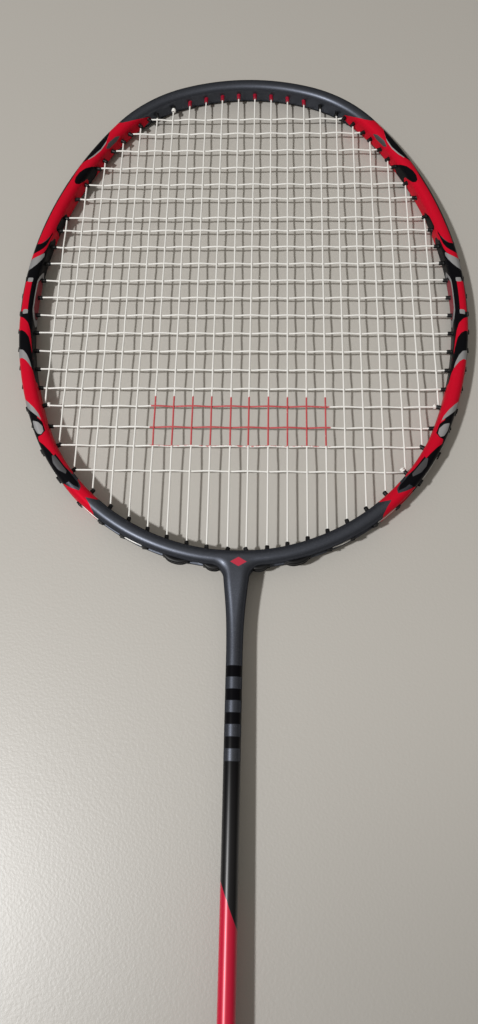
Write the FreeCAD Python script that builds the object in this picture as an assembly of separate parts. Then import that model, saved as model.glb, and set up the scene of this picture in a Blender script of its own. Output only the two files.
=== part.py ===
"""Badminton racket: carbon hoop and throat, shaft, cone, eight-sided handle, grommets and strings.

The frame: the string plane is Z = 0, +Y runs from the butt to the top of the head, +X to the right
with the face towards you, and the origin is the middle of the butt face. Millimetres.
"""
import FreeCAD, Part
import math
import os

V = FreeCAD.Vector

# Overall
LENGTH = 675.0

# Hoop: tangent arcs of the section's middle line, from the top round to the throat, on one side.
# The last arc's radius closes the hoop, so it is worked out.
ARC_RADII = (104.0, 65.0, 177.0, 163.0, 97.0)
ARC_TURNS = (18.0, 34.0, 30.0, 30.0, 50.0, 18.0)

# Hoop section: rounded box, wide in the string plane and deep across it
SECTION_W = 6.6
SECTION_D = 10.4
SECTION_ROUND = 3.0
GROOVE_W = 3.6
GROOVE_DEPTH = 1.5
GROOVE_ROUND = 0.6
GROOVE_CUT_PAST = 3.0
CAVITY_IN = -2.3
CAVITY_OUT = 0.9
CAVITY_D = 8.0
CAVITY_ROUND = 1.4

# Shaft and throat
SHAFT_R = 3.35
SHAFT_BORE_R = 2.3
SHAFT_END_Y = 95.0
NECK_LENGTH = 34.0
NECK_SECTIONS = (-2.5, -1.0, 0.5, 2.0, 4.0, 7.0, 12.0, 18.0, 25.0, NECK_LENGTH)
NECK_WALL = 0.15
NECK_SPREAD = 1.95
NECK_RUN = 15.8
NECK_POWER = 1.75
NECK_FILLET = 3.6
NECK_FILLET_RUN = 1.5
NECK_ROOT_MAX = 13.0
NECK_DEPTH_SPREAD = 1.5
NECK_DEPTH_RUN = 16.0
SHAFT_TOP_DEPTH = 5.0
INSERT_HALF_TURN = 10.0
INSERT_STEM_LENGTH = 30.0
INSERT_STEM_ROOT = 1.0

# Handle: eight-sided core, wide faces level with the strings
CORE_W, CORE_D, CORE_BEVEL = 22.6, 19.6, 6.2
FLARE_W, FLARE_D, FLARE_BEVEL = 27.0, 24.0, 7.4
CORNER_SLOPE = 0.8
FLARE_END_Y = 11.0
STRAIGHT_Y = 27.0
CORE_TOP_Y = 172.0
SPIGOT_R = 7.5
SPIGOT_LENGTH = 12.0
GRIP_T = 1.7
GRIP_START_Y = 3.0
FINISH_T = 0.35
FINISH_LENGTH = 14.0
CONE_TOP_Y = 208.0
CONE_BASE_R = 11.4
CONE_TOP_R = 4.5
CONE_BAND = 3.0
CONE_MID = (190.0, 7.6)
CAP_T = 3.0
CAP_EDGE = 0.8
CAP_PLUG_R = 6.0
CAP_PLUG_LENGTH = 9.0
BADGE_R = 8.0
BADGE_T = 0.5
STAPLE_W = 8.0
STAPLE_LEG = 5.0
STAPLE_WIRE = 0.6
STAPLE_Y = 8.0

# Strings
MAIN_PITCH = 8.5
MAIN_COUNT = 22
CROSS_TOP_Y = 652.8
CROSS_PITCH = 9.6
CROSS_WIDE = 11.1
WIDE_GAPS = (2, 3, 20)
CROSS_COUNT = 21
STRING_R = 0.35
LAYER_Z = 0.36
GROOVE_RUN_MAX = 8.0
BEND_REACH = 0.7
LOOP_SUNK = 0.3

# Grommets
HOLE_R = 1.05
BARREL_R = 1.0
BARREL_BORE_R = 0.75
NUB = 2.2
RED_NUB = 2.6
DRILL_PAST = 3.0
RED_EACH_SIDE = 4
BASE_T = 0.6
BASE_SUNK = 0.1
BASE_HALF = 1.9
GUARD_SHORT = 0.3
GUARD_INNER = 0.85
GUARD_OUTER = 1.65
GUARD_PROUD = 0.5
SHARE = 4.0
CENTRE_SPLAY = 20.0
CENTRE_MAINS = (10, 11)
LEAN_FULL = 22.0
LEAN_NONE = 50.0
LINKED_MAINS = ((11, 12), (13, 14))
LINK_PROUD = 1.2
LINK_SUNK = 0.2
KNOT_WIRE_R = 0.42
KNOT_RING_R = 0.82
KNOT_GAP = 0.1

HALF_W = SECTION_W / 2
GROOVE_FLOOR = HALF_W - GROOVE_DEPTH
LOOP_U = HALF_W - LOOP_SUNK


# ---------------------------------------------------------------- hoop outline

def hoop_arcs():
    """All arcs round the hoop, clockwise from the top: centre x, centre y, radius, start, end."""
    heading = 0.0
    drift = 0.0
    for radius, turn in zip(ARC_RADII, ARC_TURNS):
        after = heading + math.radians(turn)
        drift += radius * (math.sin(after) - math.sin(heading))
        heading = after
    closing = drift / math.sin(heading)
    radii = list(ARC_RADII) + [closing]
    radii += radii[::-1]
    turns = list(ARC_TURNS) + list(ARC_TURNS[::-1])
    x, y, heading = 0.0, LENGTH - HALF_W, 0.0
    arcs = []
    for radius, turn in zip(radii, turns):
        cx = x - radius * math.sin(heading)
        cy = y - radius * math.cos(heading)
        after = heading + math.radians(turn)
        arcs.append((cx, cy, radius, heading, after))
        x = cx + radius * math.sin(after)
        y = cy + radius * math.cos(after)
        heading = after
    return arcs


ARCS = hoop_arcs()
BOTTOM = ARCS[5]
BOTTOM_Y = BOTTOM[1] - BOTTOM[2]
HOOP_FOOT_Y = BOTTOM_Y - HALF_W


def arc_at(heading):
    """The arc that holds a heading, with the heading brought into one turn."""
    heading = heading % (2 * math.pi)
    for arc in ARCS:
        if arc[3] - 1e-9 <= heading <= arc[4] + 1e-9:
            return arc, heading
    return ARCS[-1], heading


def hoop_point(heading, u, z=0.0):
    """A point u outside the hoop's middle line where the outward direction has this heading."""
    arc, heading = arc_at(heading)
    reach = arc[2] + u
    return V(arc[0] + reach * math.sin(heading), arc[1] + reach * math.cos(heading), z)


def outward(heading):
    return V(math.sin(heading), math.cos(heading), 0)


def meet_upright(x, top):
    """Heading where an upright line at x crosses the hoop's inner face, at the top or the bottom."""
    for cx, cy, radius, start, end in ARCS:
        reach = radius - HALF_W
        if abs(x - cx) > reach:
            continue
        rise = math.sqrt(reach ** 2 - (x - cx) ** 2)
        for y_rel in (rise, -rise):
            heading = math.atan2(x - cx, y_rel) % (2 * math.pi)
            upper = math.cos(heading) > 0
            if start <= heading <= end and upper == top:
                return heading
    raise ValueError(x)


def meet_level(y, right):
    """Heading where a level line at y crosses the hoop's inner face, on the right or the left."""
    for cx, cy, radius, start, end in ARCS:
        reach = radius - HALF_W
        if abs(y - cy) > reach:
            continue
        run = math.sqrt(reach ** 2 - (y - cy) ** 2)
        for x_rel in (run, -run):
            heading = math.atan2(x_rel, y - cy) % (2 * math.pi)
            if start <= heading <= end and (math.sin(heading) > 0) == right:
                return heading
    raise ValueError(y)


# ---------------------------------------------------------------- solids along the hoop

def placed_face(outline, heading):
    """A closed outline of (u, z) lines and arcs, set across the hoop at a heading."""
    edges = []
    for kind, *points in outline:
        spots = [hoop_point(heading, u, z) for u, z in points]
        if kind == "line":
            edges.append(Part.LineSegment(*spots).toShape())
        else:
            edges.append(Part.Arc(*spots).toShape())
    return Part.Face(Part.Wire(edges))


def rounded_outline(low, high, depth, r, groove=None):
    """Rounded box outline from u = low to u = high, with a groove in its outer side if given."""
    half = depth / 2
    k = r * (1 - math.sqrt(0.5))
    outline = [
        ("line", (low, -half + r), (low, half - r)),
        ("arc", (low, half - r), (low + k, half - k), (low + r, half)),
        ("line", (low + r, half), (high - r, half)),
        ("arc", (high - r, half), (high - k, half - k), (high, half - r)),
    ]
    if groove:
        width, deep = groove
        edge = width / 2
        outline += [
            ("line", (high, half - r), (high, edge)),
            ("line", (high, edge), (high - deep, edge)),
            ("line", (high - deep, edge), (high - deep, -edge)),
            ("line", (high - deep, -edge), (high, -edge)),
            ("line", (high, -edge), (high, -half + r)),
        ]
    else:
        outline.append(("line", (high, half - r), (high, -half + r)))
    outline += [
        ("arc", (high, -half + r), (high - k, -half + k), (high - r, -half)),
        ("line", (high - r, -half), (low + r, -half)),
        ("arc", (low + r, -half), (low + k, -half + k), (low, -half + r)),
    ]
    return outline


def ring(outline, start=0.0, end=2 * math.pi):
    """The outline swept round the hoop between two headings."""
    pieces = []
    for cx, cy, radius, first, last in ARCS:
        begin = max(first, start)
        finish = min(last, end)
        if finish - begin < 1e-6:
            continue
        middle = (begin + finish) / 2
        face = placed_face(outline, middle)
        face.rotate(V(cx, cy, 0), V(0, 0, 1), math.degrees(middle - begin))
        pieces.append(face.revolve(V(cx, cy, 0), V(0, 0, -1), math.degrees(finish - begin)))
    return joined(pieces)


def joined(solids):
    whole = solids[0]
    if len(solids) > 1:
        whole = whole.multiFuse(solids[1:])
    return whole.removeSplitter()


# ---------------------------------------------------------------- string ends and holes

def cross_levels():
    """Heights of the crosses, from the top down."""
    levels = [CROSS_TOP_Y]
    for number in range(2, CROSS_COUNT + 1):
        levels.append(levels[-1] - (CROSS_WIDE if number - 1 in WIDE_GAPS else CROSS_PITCH))
    return levels


def main_x(i):
    return (i - (MAIN_COUNT - 1) / 2) * MAIN_PITCH


def string_ends():
    """Heading of every string end, by name: ("main", i, "top") or ("cross", j, "right")."""
    ends = {}
    for i in range(MAIN_COUNT):
        ends["main", i, "top"] = meet_upright(main_x(i), True)
        ends["main", i, "bottom"] = meet_upright(main_x(i), False)
    for j, level in enumerate(cross_levels()):
        ends["cross", j, "right"] = meet_level(level, True)
        ends["cross", j, "left"] = meet_level(level, False)
    return ends


def shared_holes(ends):
    """Group the ends that come within SHARE of each other along the hoop into one hole."""
    order = sorted(ends, key=ends.get)
    holes = []
    for name in order:
        heading = ends[name]
        if holes:
            gap = (hoop_point(heading, -HALF_W) - hoop_point(holes[-1]["heading"], -HALF_W)).Length
            if gap < SHARE and len(holes[-1]["names"]) == 1:
                holes[-1]["heading"] = (holes[-1]["heading"] + heading) / 2
                holes[-1]["names"].append(name)
                continue
        holes.append({"heading": heading, "names": [name]})
    for hole in holes:
        set_axis(hole)
    return holes


def lean_to_string(heading, kind):
    """Turn a hole from square to the hoop towards its own string, less where the string is oblique."""
    nearest = round(heading / math.pi) * math.pi
    if kind == "cross":
        nearest = (math.floor(heading / math.pi) + 0.5) * math.pi
    gap = math.degrees(nearest - heading)
    if abs(gap) <= LEAN_FULL:
        return heading + math.radians(gap)
    share = max((LEAN_NONE - abs(gap)) / (LEAN_NONE - LEAN_FULL), 0.0)
    return heading + math.radians(math.copysign(LEAN_FULL * share, gap))


def set_axis(hole):
    """Give a hole its line: along its own string, or splayed past the throat at the bottom."""
    heading = hole["heading"]
    hole["inner"] = hoop_point(heading, -HALF_W)
    line = heading
    if len(hole["names"]) == 1:
        line = lean_to_string(heading, hole["names"][0][0])
    for kind, number, where in hole["names"]:
        if kind == "main" and where == "bottom" and number in CENTRE_MAINS:
            side = 1 if number == CENTRE_MAINS[1] else -1
            line = math.pi - side * math.radians(CENTRE_SPLAY)
    hole["direction"] = outward(line)


def on_axis(hole, u, z=0.0):
    """A point of a hole's line at u outside the hoop's middle line."""
    return hole["inner"] + hole["direction"] * (u + HALF_W) + V(0, 0, z)


def nub_length(hole):
    return RED_NUB if is_red(hole) else NUB


def is_red(hole):
    """The middle holes of the top carry red grommets."""
    middle = MAIN_COUNT / 2
    for kind, number, where in hole["names"]:
        if where == "top" and kind == "main" and middle - RED_EACH_SIDE <= number < middle + RED_EACH_SIDE:
            return True
    return False


ENDS = string_ends()
HOLES = shared_holes(ENDS)
HOLE_OF = {name: hole for hole in HOLES for name in hole["names"]}


def drill(hole, radius):
    start = on_axis(hole, -HALF_W - DRILL_PAST)
    return Part.makeCylinder(radius, SECTION_W + 3 * DRILL_PAST, start, hole["direction"])


# ---------------------------------------------------------------- frame pieces

def neck_half_width(d):
    """Half width of the throat d below the hoop's outer face."""
    spread = NECK_SPREAD * math.exp(-(max(d, 0.0) / NECK_RUN) ** NECK_POWER)
    return SHAFT_R + NECK_WALL + spread + NECK_FILLET * math.exp(-(d + 0.5) / NECK_FILLET_RUN)


def neck_half_depth(d):
    spread = NECK_DEPTH_SPREAD * math.exp(-(d - NECK_SECTIONS[0]) / NECK_DEPTH_RUN)
    return SHAFT_R + NECK_WALL + spread


def ellipse_wire(y, half_x, half_z):
    centre = V(0, y, 0)
    if half_x >= half_z:
        shape = Part.Ellipse(centre + V(half_x, 0, 0), centre + V(0, 0, half_z), centre)
    else:
        shape = Part.Ellipse(centre + V(0, 0, half_z), centre + V(half_x, 0, 0), centre)
    return Part.Wire([shape.toShape()])


def throat():
    """The neck below the hoop, a loft that narrows into the shaft."""
    wires = []
    for d in NECK_SECTIONS:
        half_x = min(neck_half_width(d), NECK_ROOT_MAX)
        wires.append(ellipse_wire(HOOP_FOOT_Y - d, half_x, min(neck_half_depth(d), half_x)))
    return Part.makeLoft(wires, True, False)


def shaft_socket():
    top = HOOP_FOOT_Y - SHAFT_TOP_DEPTH
    return Part.makeCylinder(SHAFT_R, NECK_LENGTH + 5, V(0, top, 0), V(0, -1, 0))


def insert_stem(radius):
    length = HOOP_FOOT_Y - SHAFT_TOP_DEPTH - INSERT_STEM_LENGTH
    top = BOTTOM_Y + INSERT_STEM_ROOT
    return Part.makeCylinder(radius, top - length, V(0, top, 0), V(0, -1, 0))


def head_frame():
    """Hollow hoop and throat, with the outer string groove and every string hole."""
    outside = rounded_outline(-HALF_W, HALF_W, SECTION_D, SECTION_ROUND)
    hoop = ring(outside)
    grooved = ring(rounded_outline(GROOVE_FLOOR, HALF_W + GROOVE_CUT_PAST, GROOVE_W, GROOVE_ROUND))
    body = joined([hoop, throat()]).cut(grooved)
    hollow = ring(rounded_outline(CAVITY_IN, CAVITY_OUT, CAVITY_D, CAVITY_ROUND))
    body = body.cut(hollow)
    body = body.cut([shaft_socket(), insert_stem(SHAFT_BORE_R)])
    return body.cut([drill(hole, HOLE_R) for hole in HOLES])


def head_foam_core():
    """Light foam that fills the hoop from one side of the T-joint insert to the other."""
    reach = math.radians(INSERT_HALF_TURN)
    outline = rounded_outline(CAVITY_IN, CAVITY_OUT, CAVITY_D, CAVITY_ROUND)
    right = ring(outline, 0.0, math.pi - reach)
    left = ring(outline, math.pi + reach, 2 * math.pi)
    core = joined([right, left])
    return core.cut([drill(hole, HOLE_R) for hole in HOLES])


def t_joint_insert():
    """T-shaped plug: a crossbar inside the hoop and a stem inside the shaft."""
    reach = math.radians(INSERT_HALF_TURN)
    outline = rounded_outline(CAVITY_IN, CAVITY_OUT, CAVITY_D, CAVITY_ROUND)
    bar = ring(outline, math.pi - reach, math.pi + reach)
    plug = joined([bar, insert_stem(SHAFT_BORE_R)])
    return plug.cut([drill(hole, HOLE_R) for hole in HOLES])


def shaft():
    top = HOOP_FOOT_Y - SHAFT_TOP_DEPTH
    length = top - SHAFT_END_Y
    tube = Part.makeCylinder(SHAFT_R, length, V(0, top, 0), V(0, -1, 0))
    return tube.cut(Part.makeCylinder(SHAFT_BORE_R, length + 2, V(0, top + 1, 0), V(0, -1, 0)))


# ---------------------------------------------------------------- handle pieces

def octagon(y, width, depth, bevel):
    """Eight-sided outline: width along X, depth along Z, corners cut by bevel."""
    a, b = width / 2, depth / 2
    flat = bevel * CORNER_SLOPE
    corners = [(a, b - flat), (a - bevel, b), (bevel - a, b), (-a, b - flat)]
    corners += [(-x, -z) for x, z in corners]
    points = [V(x, y, z) for x, z in corners]
    return Part.makePolygon(points + points[:1])


def handle_form(grow, start, end):
    """The handle's outer form, grown on every side, from one height to another."""
    stations = [(start, FLARE_W, FLARE_D, FLARE_BEVEL), (FLARE_END_Y, FLARE_W, FLARE_D, FLARE_BEVEL)]
    stations += [(STRAIGHT_Y, CORE_W, CORE_D, CORE_BEVEL), (end, CORE_W, CORE_D, CORE_BEVEL)]
    spread = grow * 2
    wires = [octagon(y, w + spread, d + spread, c + grow / 2) for y, w, d, c in stations]
    return Part.makeLoft(wires, True, True)


def grip_staple():
    """Wire staple through the grip's first turn, its back flush with the wood."""
    top = FLARE_D / 2
    low = top - STAPLE_LEG
    wire = STAPLE_WIRE
    crown = Part.makeBox(STAPLE_W, wire, wire, V(-STAPLE_W / 2, STAPLE_Y, top - wire))
    left = Part.makeBox(wire, wire, STAPLE_LEG, V(-STAPLE_W / 2, STAPLE_Y, low))
    right = Part.makeBox(wire, wire, STAPLE_LEG, V(STAPLE_W / 2 - wire, STAPLE_Y, low))
    return joined([crown, left, right])


def cap_plug():
    return Part.makeCylinder(CAP_PLUG_R, CAP_PLUG_LENGTH, V(0, CAP_T, 0), V(0, 1, 0))


def handle_core():
    """Wooden core: flared butt, straight eight-sided run, round spigot that enters the cone."""
    body = handle_form(0.0, CAP_T, CORE_TOP_Y)
    spigot = Part.makeCylinder(SPIGOT_R, SPIGOT_LENGTH, V(0, CORE_TOP_Y, 0), V(0, 1, 0))
    bore = Part.makeCylinder(SHAFT_R, CORE_TOP_Y, V(0, SHAFT_END_Y, 0), V(0, 1, 0))
    return joined([body, spigot]).cut([bore, cap_plug(), grip_staple()])


def butt_cap():
    """Plastic cap on the butt, with a plug into the core and a round recess for the badge."""
    grow = GRIP_T * 2
    wide, deep, bevel = FLARE_W + grow, FLARE_D + grow, FLARE_BEVEL + CAP_EDGE
    wires = [
        octagon(0.0, wide - 2 * CAP_EDGE, deep - 2 * CAP_EDGE, bevel - CAP_EDGE / 2),
        octagon(CAP_EDGE, wide, deep, bevel),
        octagon(CAP_T, wide, deep, bevel),
    ]
    plate = Part.makeLoft(wires, True, True)
    return joined([plate, cap_plug()]).cut(butt_badge())


def butt_badge():
    return Part.makeCylinder(BADGE_R, BADGE_T, V(0, 0, 0), V(0, 1, 0))


def grip_tape():
    """Soft tape round the handle, as one sleeve from the cap to the cone."""
    outer = handle_form(GRIP_T, GRIP_START_Y, CORE_TOP_Y)
    return outer.cut(handle_form(0.0, GRIP_START_Y, CORE_TOP_Y))


def finishing_tape():
    """Thin band that holds the end of the grip tape."""
    start = CORE_TOP_Y - FINISH_LENGTH
    stations = []
    for grow in (GRIP_T + FINISH_T, GRIP_T):
        spread = grow * 2
        size = (CORE_W + spread, CORE_D + spread, CORE_BEVEL + grow / 2)
        stations.append(Part.makeLoft([octagon(start, *size), octagon(CORE_TOP_Y, *size)], True, True))
    return stations[0].cut(stations[1])


def cone():
    """Plastic cone between the shaft and the handle, hollow over the core's spigot."""
    mid_y, mid_r = CONE_MID
    side = Part.Arc(V(CONE_BASE_R, CORE_TOP_Y + CONE_BAND, 0), V(mid_r, mid_y, 0), V(CONE_TOP_R, CONE_TOP_Y, 0))
    edges = [
        Part.makeLine(V(0, CORE_TOP_Y, 0), V(CONE_BASE_R, CORE_TOP_Y, 0)),
        Part.makeLine(V(CONE_BASE_R, CORE_TOP_Y, 0), V(CONE_BASE_R, CORE_TOP_Y + CONE_BAND, 0)),
        side.toShape(),
        Part.makeLine(V(CONE_TOP_R, CONE_TOP_Y, 0), V(0, CONE_TOP_Y, 0)),
        Part.makeLine(V(0, CONE_TOP_Y, 0), V(0, CORE_TOP_Y, 0)),
    ]
    solid = Part.Face(Part.Wire(edges)).revolve(V(0, 0, 0), V(0, 1, 0), 360)
    bore = Part.makeCylinder(SHAFT_R, CONE_TOP_Y, V(0, SHAFT_END_Y, 0), V(0, 1, 0))
    pocket = Part.makeCylinder(SPIGOT_R, SPIGOT_LENGTH, V(0, CORE_TOP_Y, 0), V(0, 1, 0))
    return solid.cut([bore, pocket])


# ---------------------------------------------------------------- grommets

def local_box(hole, centre_u, size_u, half_along, low_z, high_z):
    """Box in a hole's own directions: out of the hoop, along it, and across the string plane."""
    box = Part.makeBox(2 * half_along, size_u, high_z - low_z, V(-half_along, -size_u / 2, low_z))
    turn = math.degrees(math.atan2(-hole["direction"].x, hole["direction"].y))
    box.rotate(V(0, 0, 0), V(0, 0, 1), turn)
    box.translate(on_axis(hole, centre_u))
    return box


def grommet(hole):
    """Barrel through the hoop with an inner nub, a base in the groove and two string guards."""
    start = on_axis(hole, -HALF_W - nub_length(hole))
    length = SECTION_W - GROOVE_DEPTH + nub_length(hole) + BASE_T / 2
    barrel = Part.makeCylinder(BARREL_R, length, start, hole["direction"])
    middle = GROOVE_FLOOR + BASE_T / 2 + BASE_SUNK
    base = local_box(hole, middle, BASE_T, BASE_HALF, -GUARD_OUTER, GUARD_OUTER)
    low = GROOVE_FLOOR + BASE_T
    high = HALF_W + GUARD_PROUD
    walls = []
    for a, b in ((GUARD_INNER, GUARD_OUTER), (-GUARD_OUTER, -GUARD_INNER)):
        walls.append(local_box(hole, (low + high) / 2, high - low, BASE_HALF - GUARD_SHORT, a, b))
    whole = joined([barrel, base] + walls)
    return whole.cut(drill_bore(hole))


def drill_bore(hole):
    start = on_axis(hole, -HALF_W - RED_NUB - DRILL_PAST)
    length = SECTION_W + RED_NUB + 3 * DRILL_PAST
    return Part.makeCylinder(BARREL_BORE_R, length, start, hole["direction"])


def linked_grommets(first, second):
    """Two bottom grommets joined by a strip with raised walls that shields the loop between them."""
    pair = [HOLE_OF["main", i, "bottom"] for i in (first, second)]
    a, b = [on_axis(hole, LOOP_U) for hole in pair]
    middle = (a + b) * 0.5
    direction = pair[0]["direction"] + pair[1]["direction"]
    direction.normalize()
    bridge = {"inner": middle - direction * (LOOP_U + HALF_W), "direction": direction}
    half = (b - a).Length / 2
    low = GROOVE_FLOOR + BASE_T
    high = HALF_W + LINK_PROUD
    parts = [grommet(hole) for hole in pair]
    for near, far in ((GUARD_INNER, GUARD_OUTER), (-GUARD_OUTER, -GUARD_INNER)):
        parts.append(local_box(bridge, (low + high) / 2 - LINK_SUNK, high - low, half, near, far))
    whole = joined(parts)
    return whole.cut([drill_bore(hole) for hole in pair])


def mirrored_pair(pair):
    last = MAIN_COUNT - 1
    return last - pair[1], last - pair[0]


def grommet_groups():
    """Node name to holes, for every grommet that stands alone."""
    linked = set()
    for pair in LINKED_MAINS:
        for numbers in (pair, mirrored_pair(pair)):
            linked.update(id(HOLE_OF["main", i, "bottom"]) for i in numbers)
    groups = {}
    for hole in HOLES:
        if id(hole) in linked:
            continue
        place = math.degrees(hole["heading"])
        side = "right" if place < 180 else "left"
        turn = min(place, 360 - place)
        if is_red(hole):
            name = "grommets_top_centre"
        elif turn < 52:
            name = "grommets_upper_" + side
        elif turn < 128:
            name = "grommets_side_" + side
        else:
            name = "grommets_lower_" + side
        groups.setdefault(name, []).append(hole)
    return groups


# ---------------------------------------------------------------- strings

def groove_run(start, end, z):
    """Points in the outer groove from one hole to the next, not counting the holes' own."""
    a, b = start["heading"], end["heading"]
    if abs(b - a) > math.pi:
        a, b = (a - 2 * math.pi, b) if a > b else (a, b - 2 * math.pi)
    arc, _ = arc_at((a + b) / 2)
    steps = int(abs(b - a) * arc[2] / GROOVE_RUN_MAX)
    return [hoop_point(a + (b - a) * k / (steps + 1), LOOP_U, z) for k in range(1, steps + 1)]


def through(hole, z, outwards):
    """The two points of a string that passes a hole."""
    points = [on_axis(hole, -HALF_W - nub_length(hole), z), on_axis(hole, LOOP_U, z)]
    return points if outwards else points[::-1]


def cord(points, radius):
    """Round cord along straight runs joined by tangent arcs."""
    edges = []
    last = points[0]
    for before, corner, after in zip(points, points[1:], points[2:]):
        run_in, run_out = corner - before, after - corner
        turn = run_in.getAngle(run_out)
        if turn < 1e-3:
            continue
        reach = min(BEND_REACH, 0.45 * run_in.Length, 0.45 * run_out.Length)
        run_in.normalize()
        run_out.normalize()
        start = corner - run_in * reach
        end = corner + run_out * reach
        inward = run_out - run_in
        inward.normalize()
        bend = reach / math.tan(turn / 2)
        sag = bend / math.cos(turn / 2) - bend
        edges.append(Part.makeLine(last, start))
        edges.append(Part.Arc(start, corner + inward * sag, end).toShape())
        last = end
    edges.append(Part.makeLine(last, points[-1]))
    path = Part.Wire(edges)
    first = points[1] - points[0]
    profile = Part.Wire([Part.makeCircle(radius, points[0], first)])
    solid = path.makePipeShell([profile], True, True)
    expected = math.pi * radius ** 2 * path.Length
    print("cord length %.0f mm, volume %.4f of the expected" % (path.Length, solid.Volume / expected))
    return solid


def string_mains():
    """One cord: up the first main, over the top, down the next, and so on."""
    points = []
    for i in range(MAIN_COUNT):
        order = ("bottom", "top") if i % 2 == 0 else ("top", "bottom")
        first, last = [HOLE_OF["main", i, where] for where in order]
        if points:
            points += groove_run(previous, first, -LAYER_Z)
            points += through(first, -LAYER_Z, False)
        else:
            points.append(on_axis(first, -HALF_W - NUB, -LAYER_Z))
        points += through(last, -LAYER_Z, True)
        previous = last
    points.pop()
    return cord(points, STRING_R)


def string_crosses():
    """One cord: from its first knot near the top left, across and back down to the bottom."""
    anchor = HOLE_OF["main", 6, "top"]
    points = through(anchor, LAYER_Z, True)
    previous = anchor
    for j in range(CROSS_COUNT):
        order = ("left", "right") if j % 2 == 0 else ("right", "left")
        first, last = [HOLE_OF["cross", j, where] for where in order]
        points += groove_run(previous, first, LAYER_Z)
        points += through(first, LAYER_Z, False)
        points += through(last, LAYER_Z, True)
        previous = last
    points.pop()
    return cord(points, STRING_R)


def knot(hole, z):
    """Small tie-off knot just inside a hole: a ring of string drawn tight round its own cord."""
    centre = on_axis(hole, -HALF_W - nub_length(hole) - KNOT_WIRE_R - KNOT_GAP, z)
    return Part.makeTorus(KNOT_RING_R, KNOT_WIRE_R, centre, hole["direction"])


def string_knots():
    """The cords' four ends are tied off just inside the hoop."""
    last = MAIN_COUNT - 1
    mains = [HOLE_OF["main", 0, "bottom"], HOLE_OF["main", last, "bottom"]]
    crosses = [HOLE_OF["main", 6, "top"], HOLE_OF["cross", CROSS_COUNT - 1, "right"]]
    rings = [knot(hole, -LAYER_Z) for hole in mains]
    rings += [knot(hole, LAYER_Z) for hole in crosses]
    return Part.makeCompound(rings)


# ---------------------------------------------------------------- build

def write(name, shape):
    solids = shape.Solids
    print("%-24s %2d solid(s), %9.1f mm3, valid %s" % (name, len(solids), shape.Volume, shape.isValid()))
    shape.exportStep("parts/%s.step" % name)


def main():
    os.makedirs("parts", exist_ok=True)
    single = (head_frame, head_foam_core, t_joint_insert, shaft, cone, handle_core, butt_cap)
    single += (butt_badge, grip_tape, finishing_tape, grip_staple)
    single += (string_mains, string_crosses, string_knots)
    for make in single:
        write(make.__name__, make())
    for name, holes in grommet_groups().items():
        write(name, Part.makeCompound([grommet(hole) for hole in holes]))
    for number, pair in enumerate(LINKED_MAINS, 1):
        write("grommet_strip_right_%d" % number, linked_grommets(*pair))
        write("grommet_strip_left_%d" % number, linked_grommets(*mirrored_pair(pair)))


main()
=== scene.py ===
"""Badminton racket: the finished look of every piece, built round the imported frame.

Lengths are in metres, in the frame's own directions: +Y from the butt to the top of the head, +X to
the right, +Z out of the front face, with the string plane at Z = 0.
"""
import logging
import math
from dataclasses import dataclass, field
from enum import Enum
from typing import Optional, Sequence, Union

import bmesh
import bpy
import numpy as np
from mathutils import Matrix, Vector


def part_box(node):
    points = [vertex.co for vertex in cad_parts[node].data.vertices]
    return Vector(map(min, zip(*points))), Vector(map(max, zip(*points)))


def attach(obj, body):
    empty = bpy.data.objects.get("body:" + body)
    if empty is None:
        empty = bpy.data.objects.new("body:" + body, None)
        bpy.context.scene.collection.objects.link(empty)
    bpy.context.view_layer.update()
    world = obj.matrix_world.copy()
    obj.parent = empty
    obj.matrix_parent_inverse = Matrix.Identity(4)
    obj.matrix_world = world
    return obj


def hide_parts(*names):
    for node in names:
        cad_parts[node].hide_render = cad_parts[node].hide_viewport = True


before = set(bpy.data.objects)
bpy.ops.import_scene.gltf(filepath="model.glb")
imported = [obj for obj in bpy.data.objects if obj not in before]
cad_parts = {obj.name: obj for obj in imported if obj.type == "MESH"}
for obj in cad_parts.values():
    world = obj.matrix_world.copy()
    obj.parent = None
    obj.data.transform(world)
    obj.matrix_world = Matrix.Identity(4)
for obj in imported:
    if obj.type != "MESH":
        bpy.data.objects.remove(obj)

MM = 0.001
BODY = "root"
LOG = logging.getLogger("racket")
Colour = tuple[float, float, float]


# ------------------------------------------------------------------ shader maths

class Term:
    """A socket of a material that Python's operators can combine."""

    def __init__(self, graph: "Graph", socket: bpy.types.NodeSocket) -> None:
        """Wrap one output socket of a graph."""
        self.graph = graph
        self.socket = socket

    def _math(self, operation: str, *values: "Value") -> "Term":
        """Add a Math node for one operation on this graph's values."""
        numbered = {index: value for index, value in enumerate(values)}
        return self.graph.node("ShaderNodeMath", {"operation": operation}, numbered)

    def __add__(self, other: "Value") -> "Term":
        """self + other."""
        return self._math("ADD", self, other)

    def __sub__(self, other: "Value") -> "Term":
        """self - other."""
        return self._math("SUBTRACT", self, other)

    def __mul__(self, other: "Value") -> "Term":
        """self * other."""
        return self._math("MULTIPLY", self, other)

    def __truediv__(self, other: "Value") -> "Term":
        """self / other."""
        return self._math("DIVIDE", self, other)

    def __pow__(self, other: "Value") -> "Term":
        """self ** other."""
        return self._math("POWER", self, other)

    def __abs__(self) -> "Term":
        """abs(self)."""
        return self._math("ABSOLUTE", self)

    def __rsub__(self, other: "Value") -> "Term":
        """other - self."""
        return self._math("SUBTRACT", other, self)

    __radd__ = __add__
    __rmul__ = __mul__

    def fraction(self) -> "Term":
        """The part after the decimal point."""
        return self._math("FRACT", self)

    def floor(self) -> "Term":
        """The whole number below."""
        return self._math("FLOOR", self)

    def sine(self) -> "Term":
        """The sine of an angle in radians."""
        return self._math("SINE", self)

    def at_least(self, other: "Value") -> "Term":
        """The larger of the two."""
        return self._math("MAXIMUM", self, other)


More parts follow.
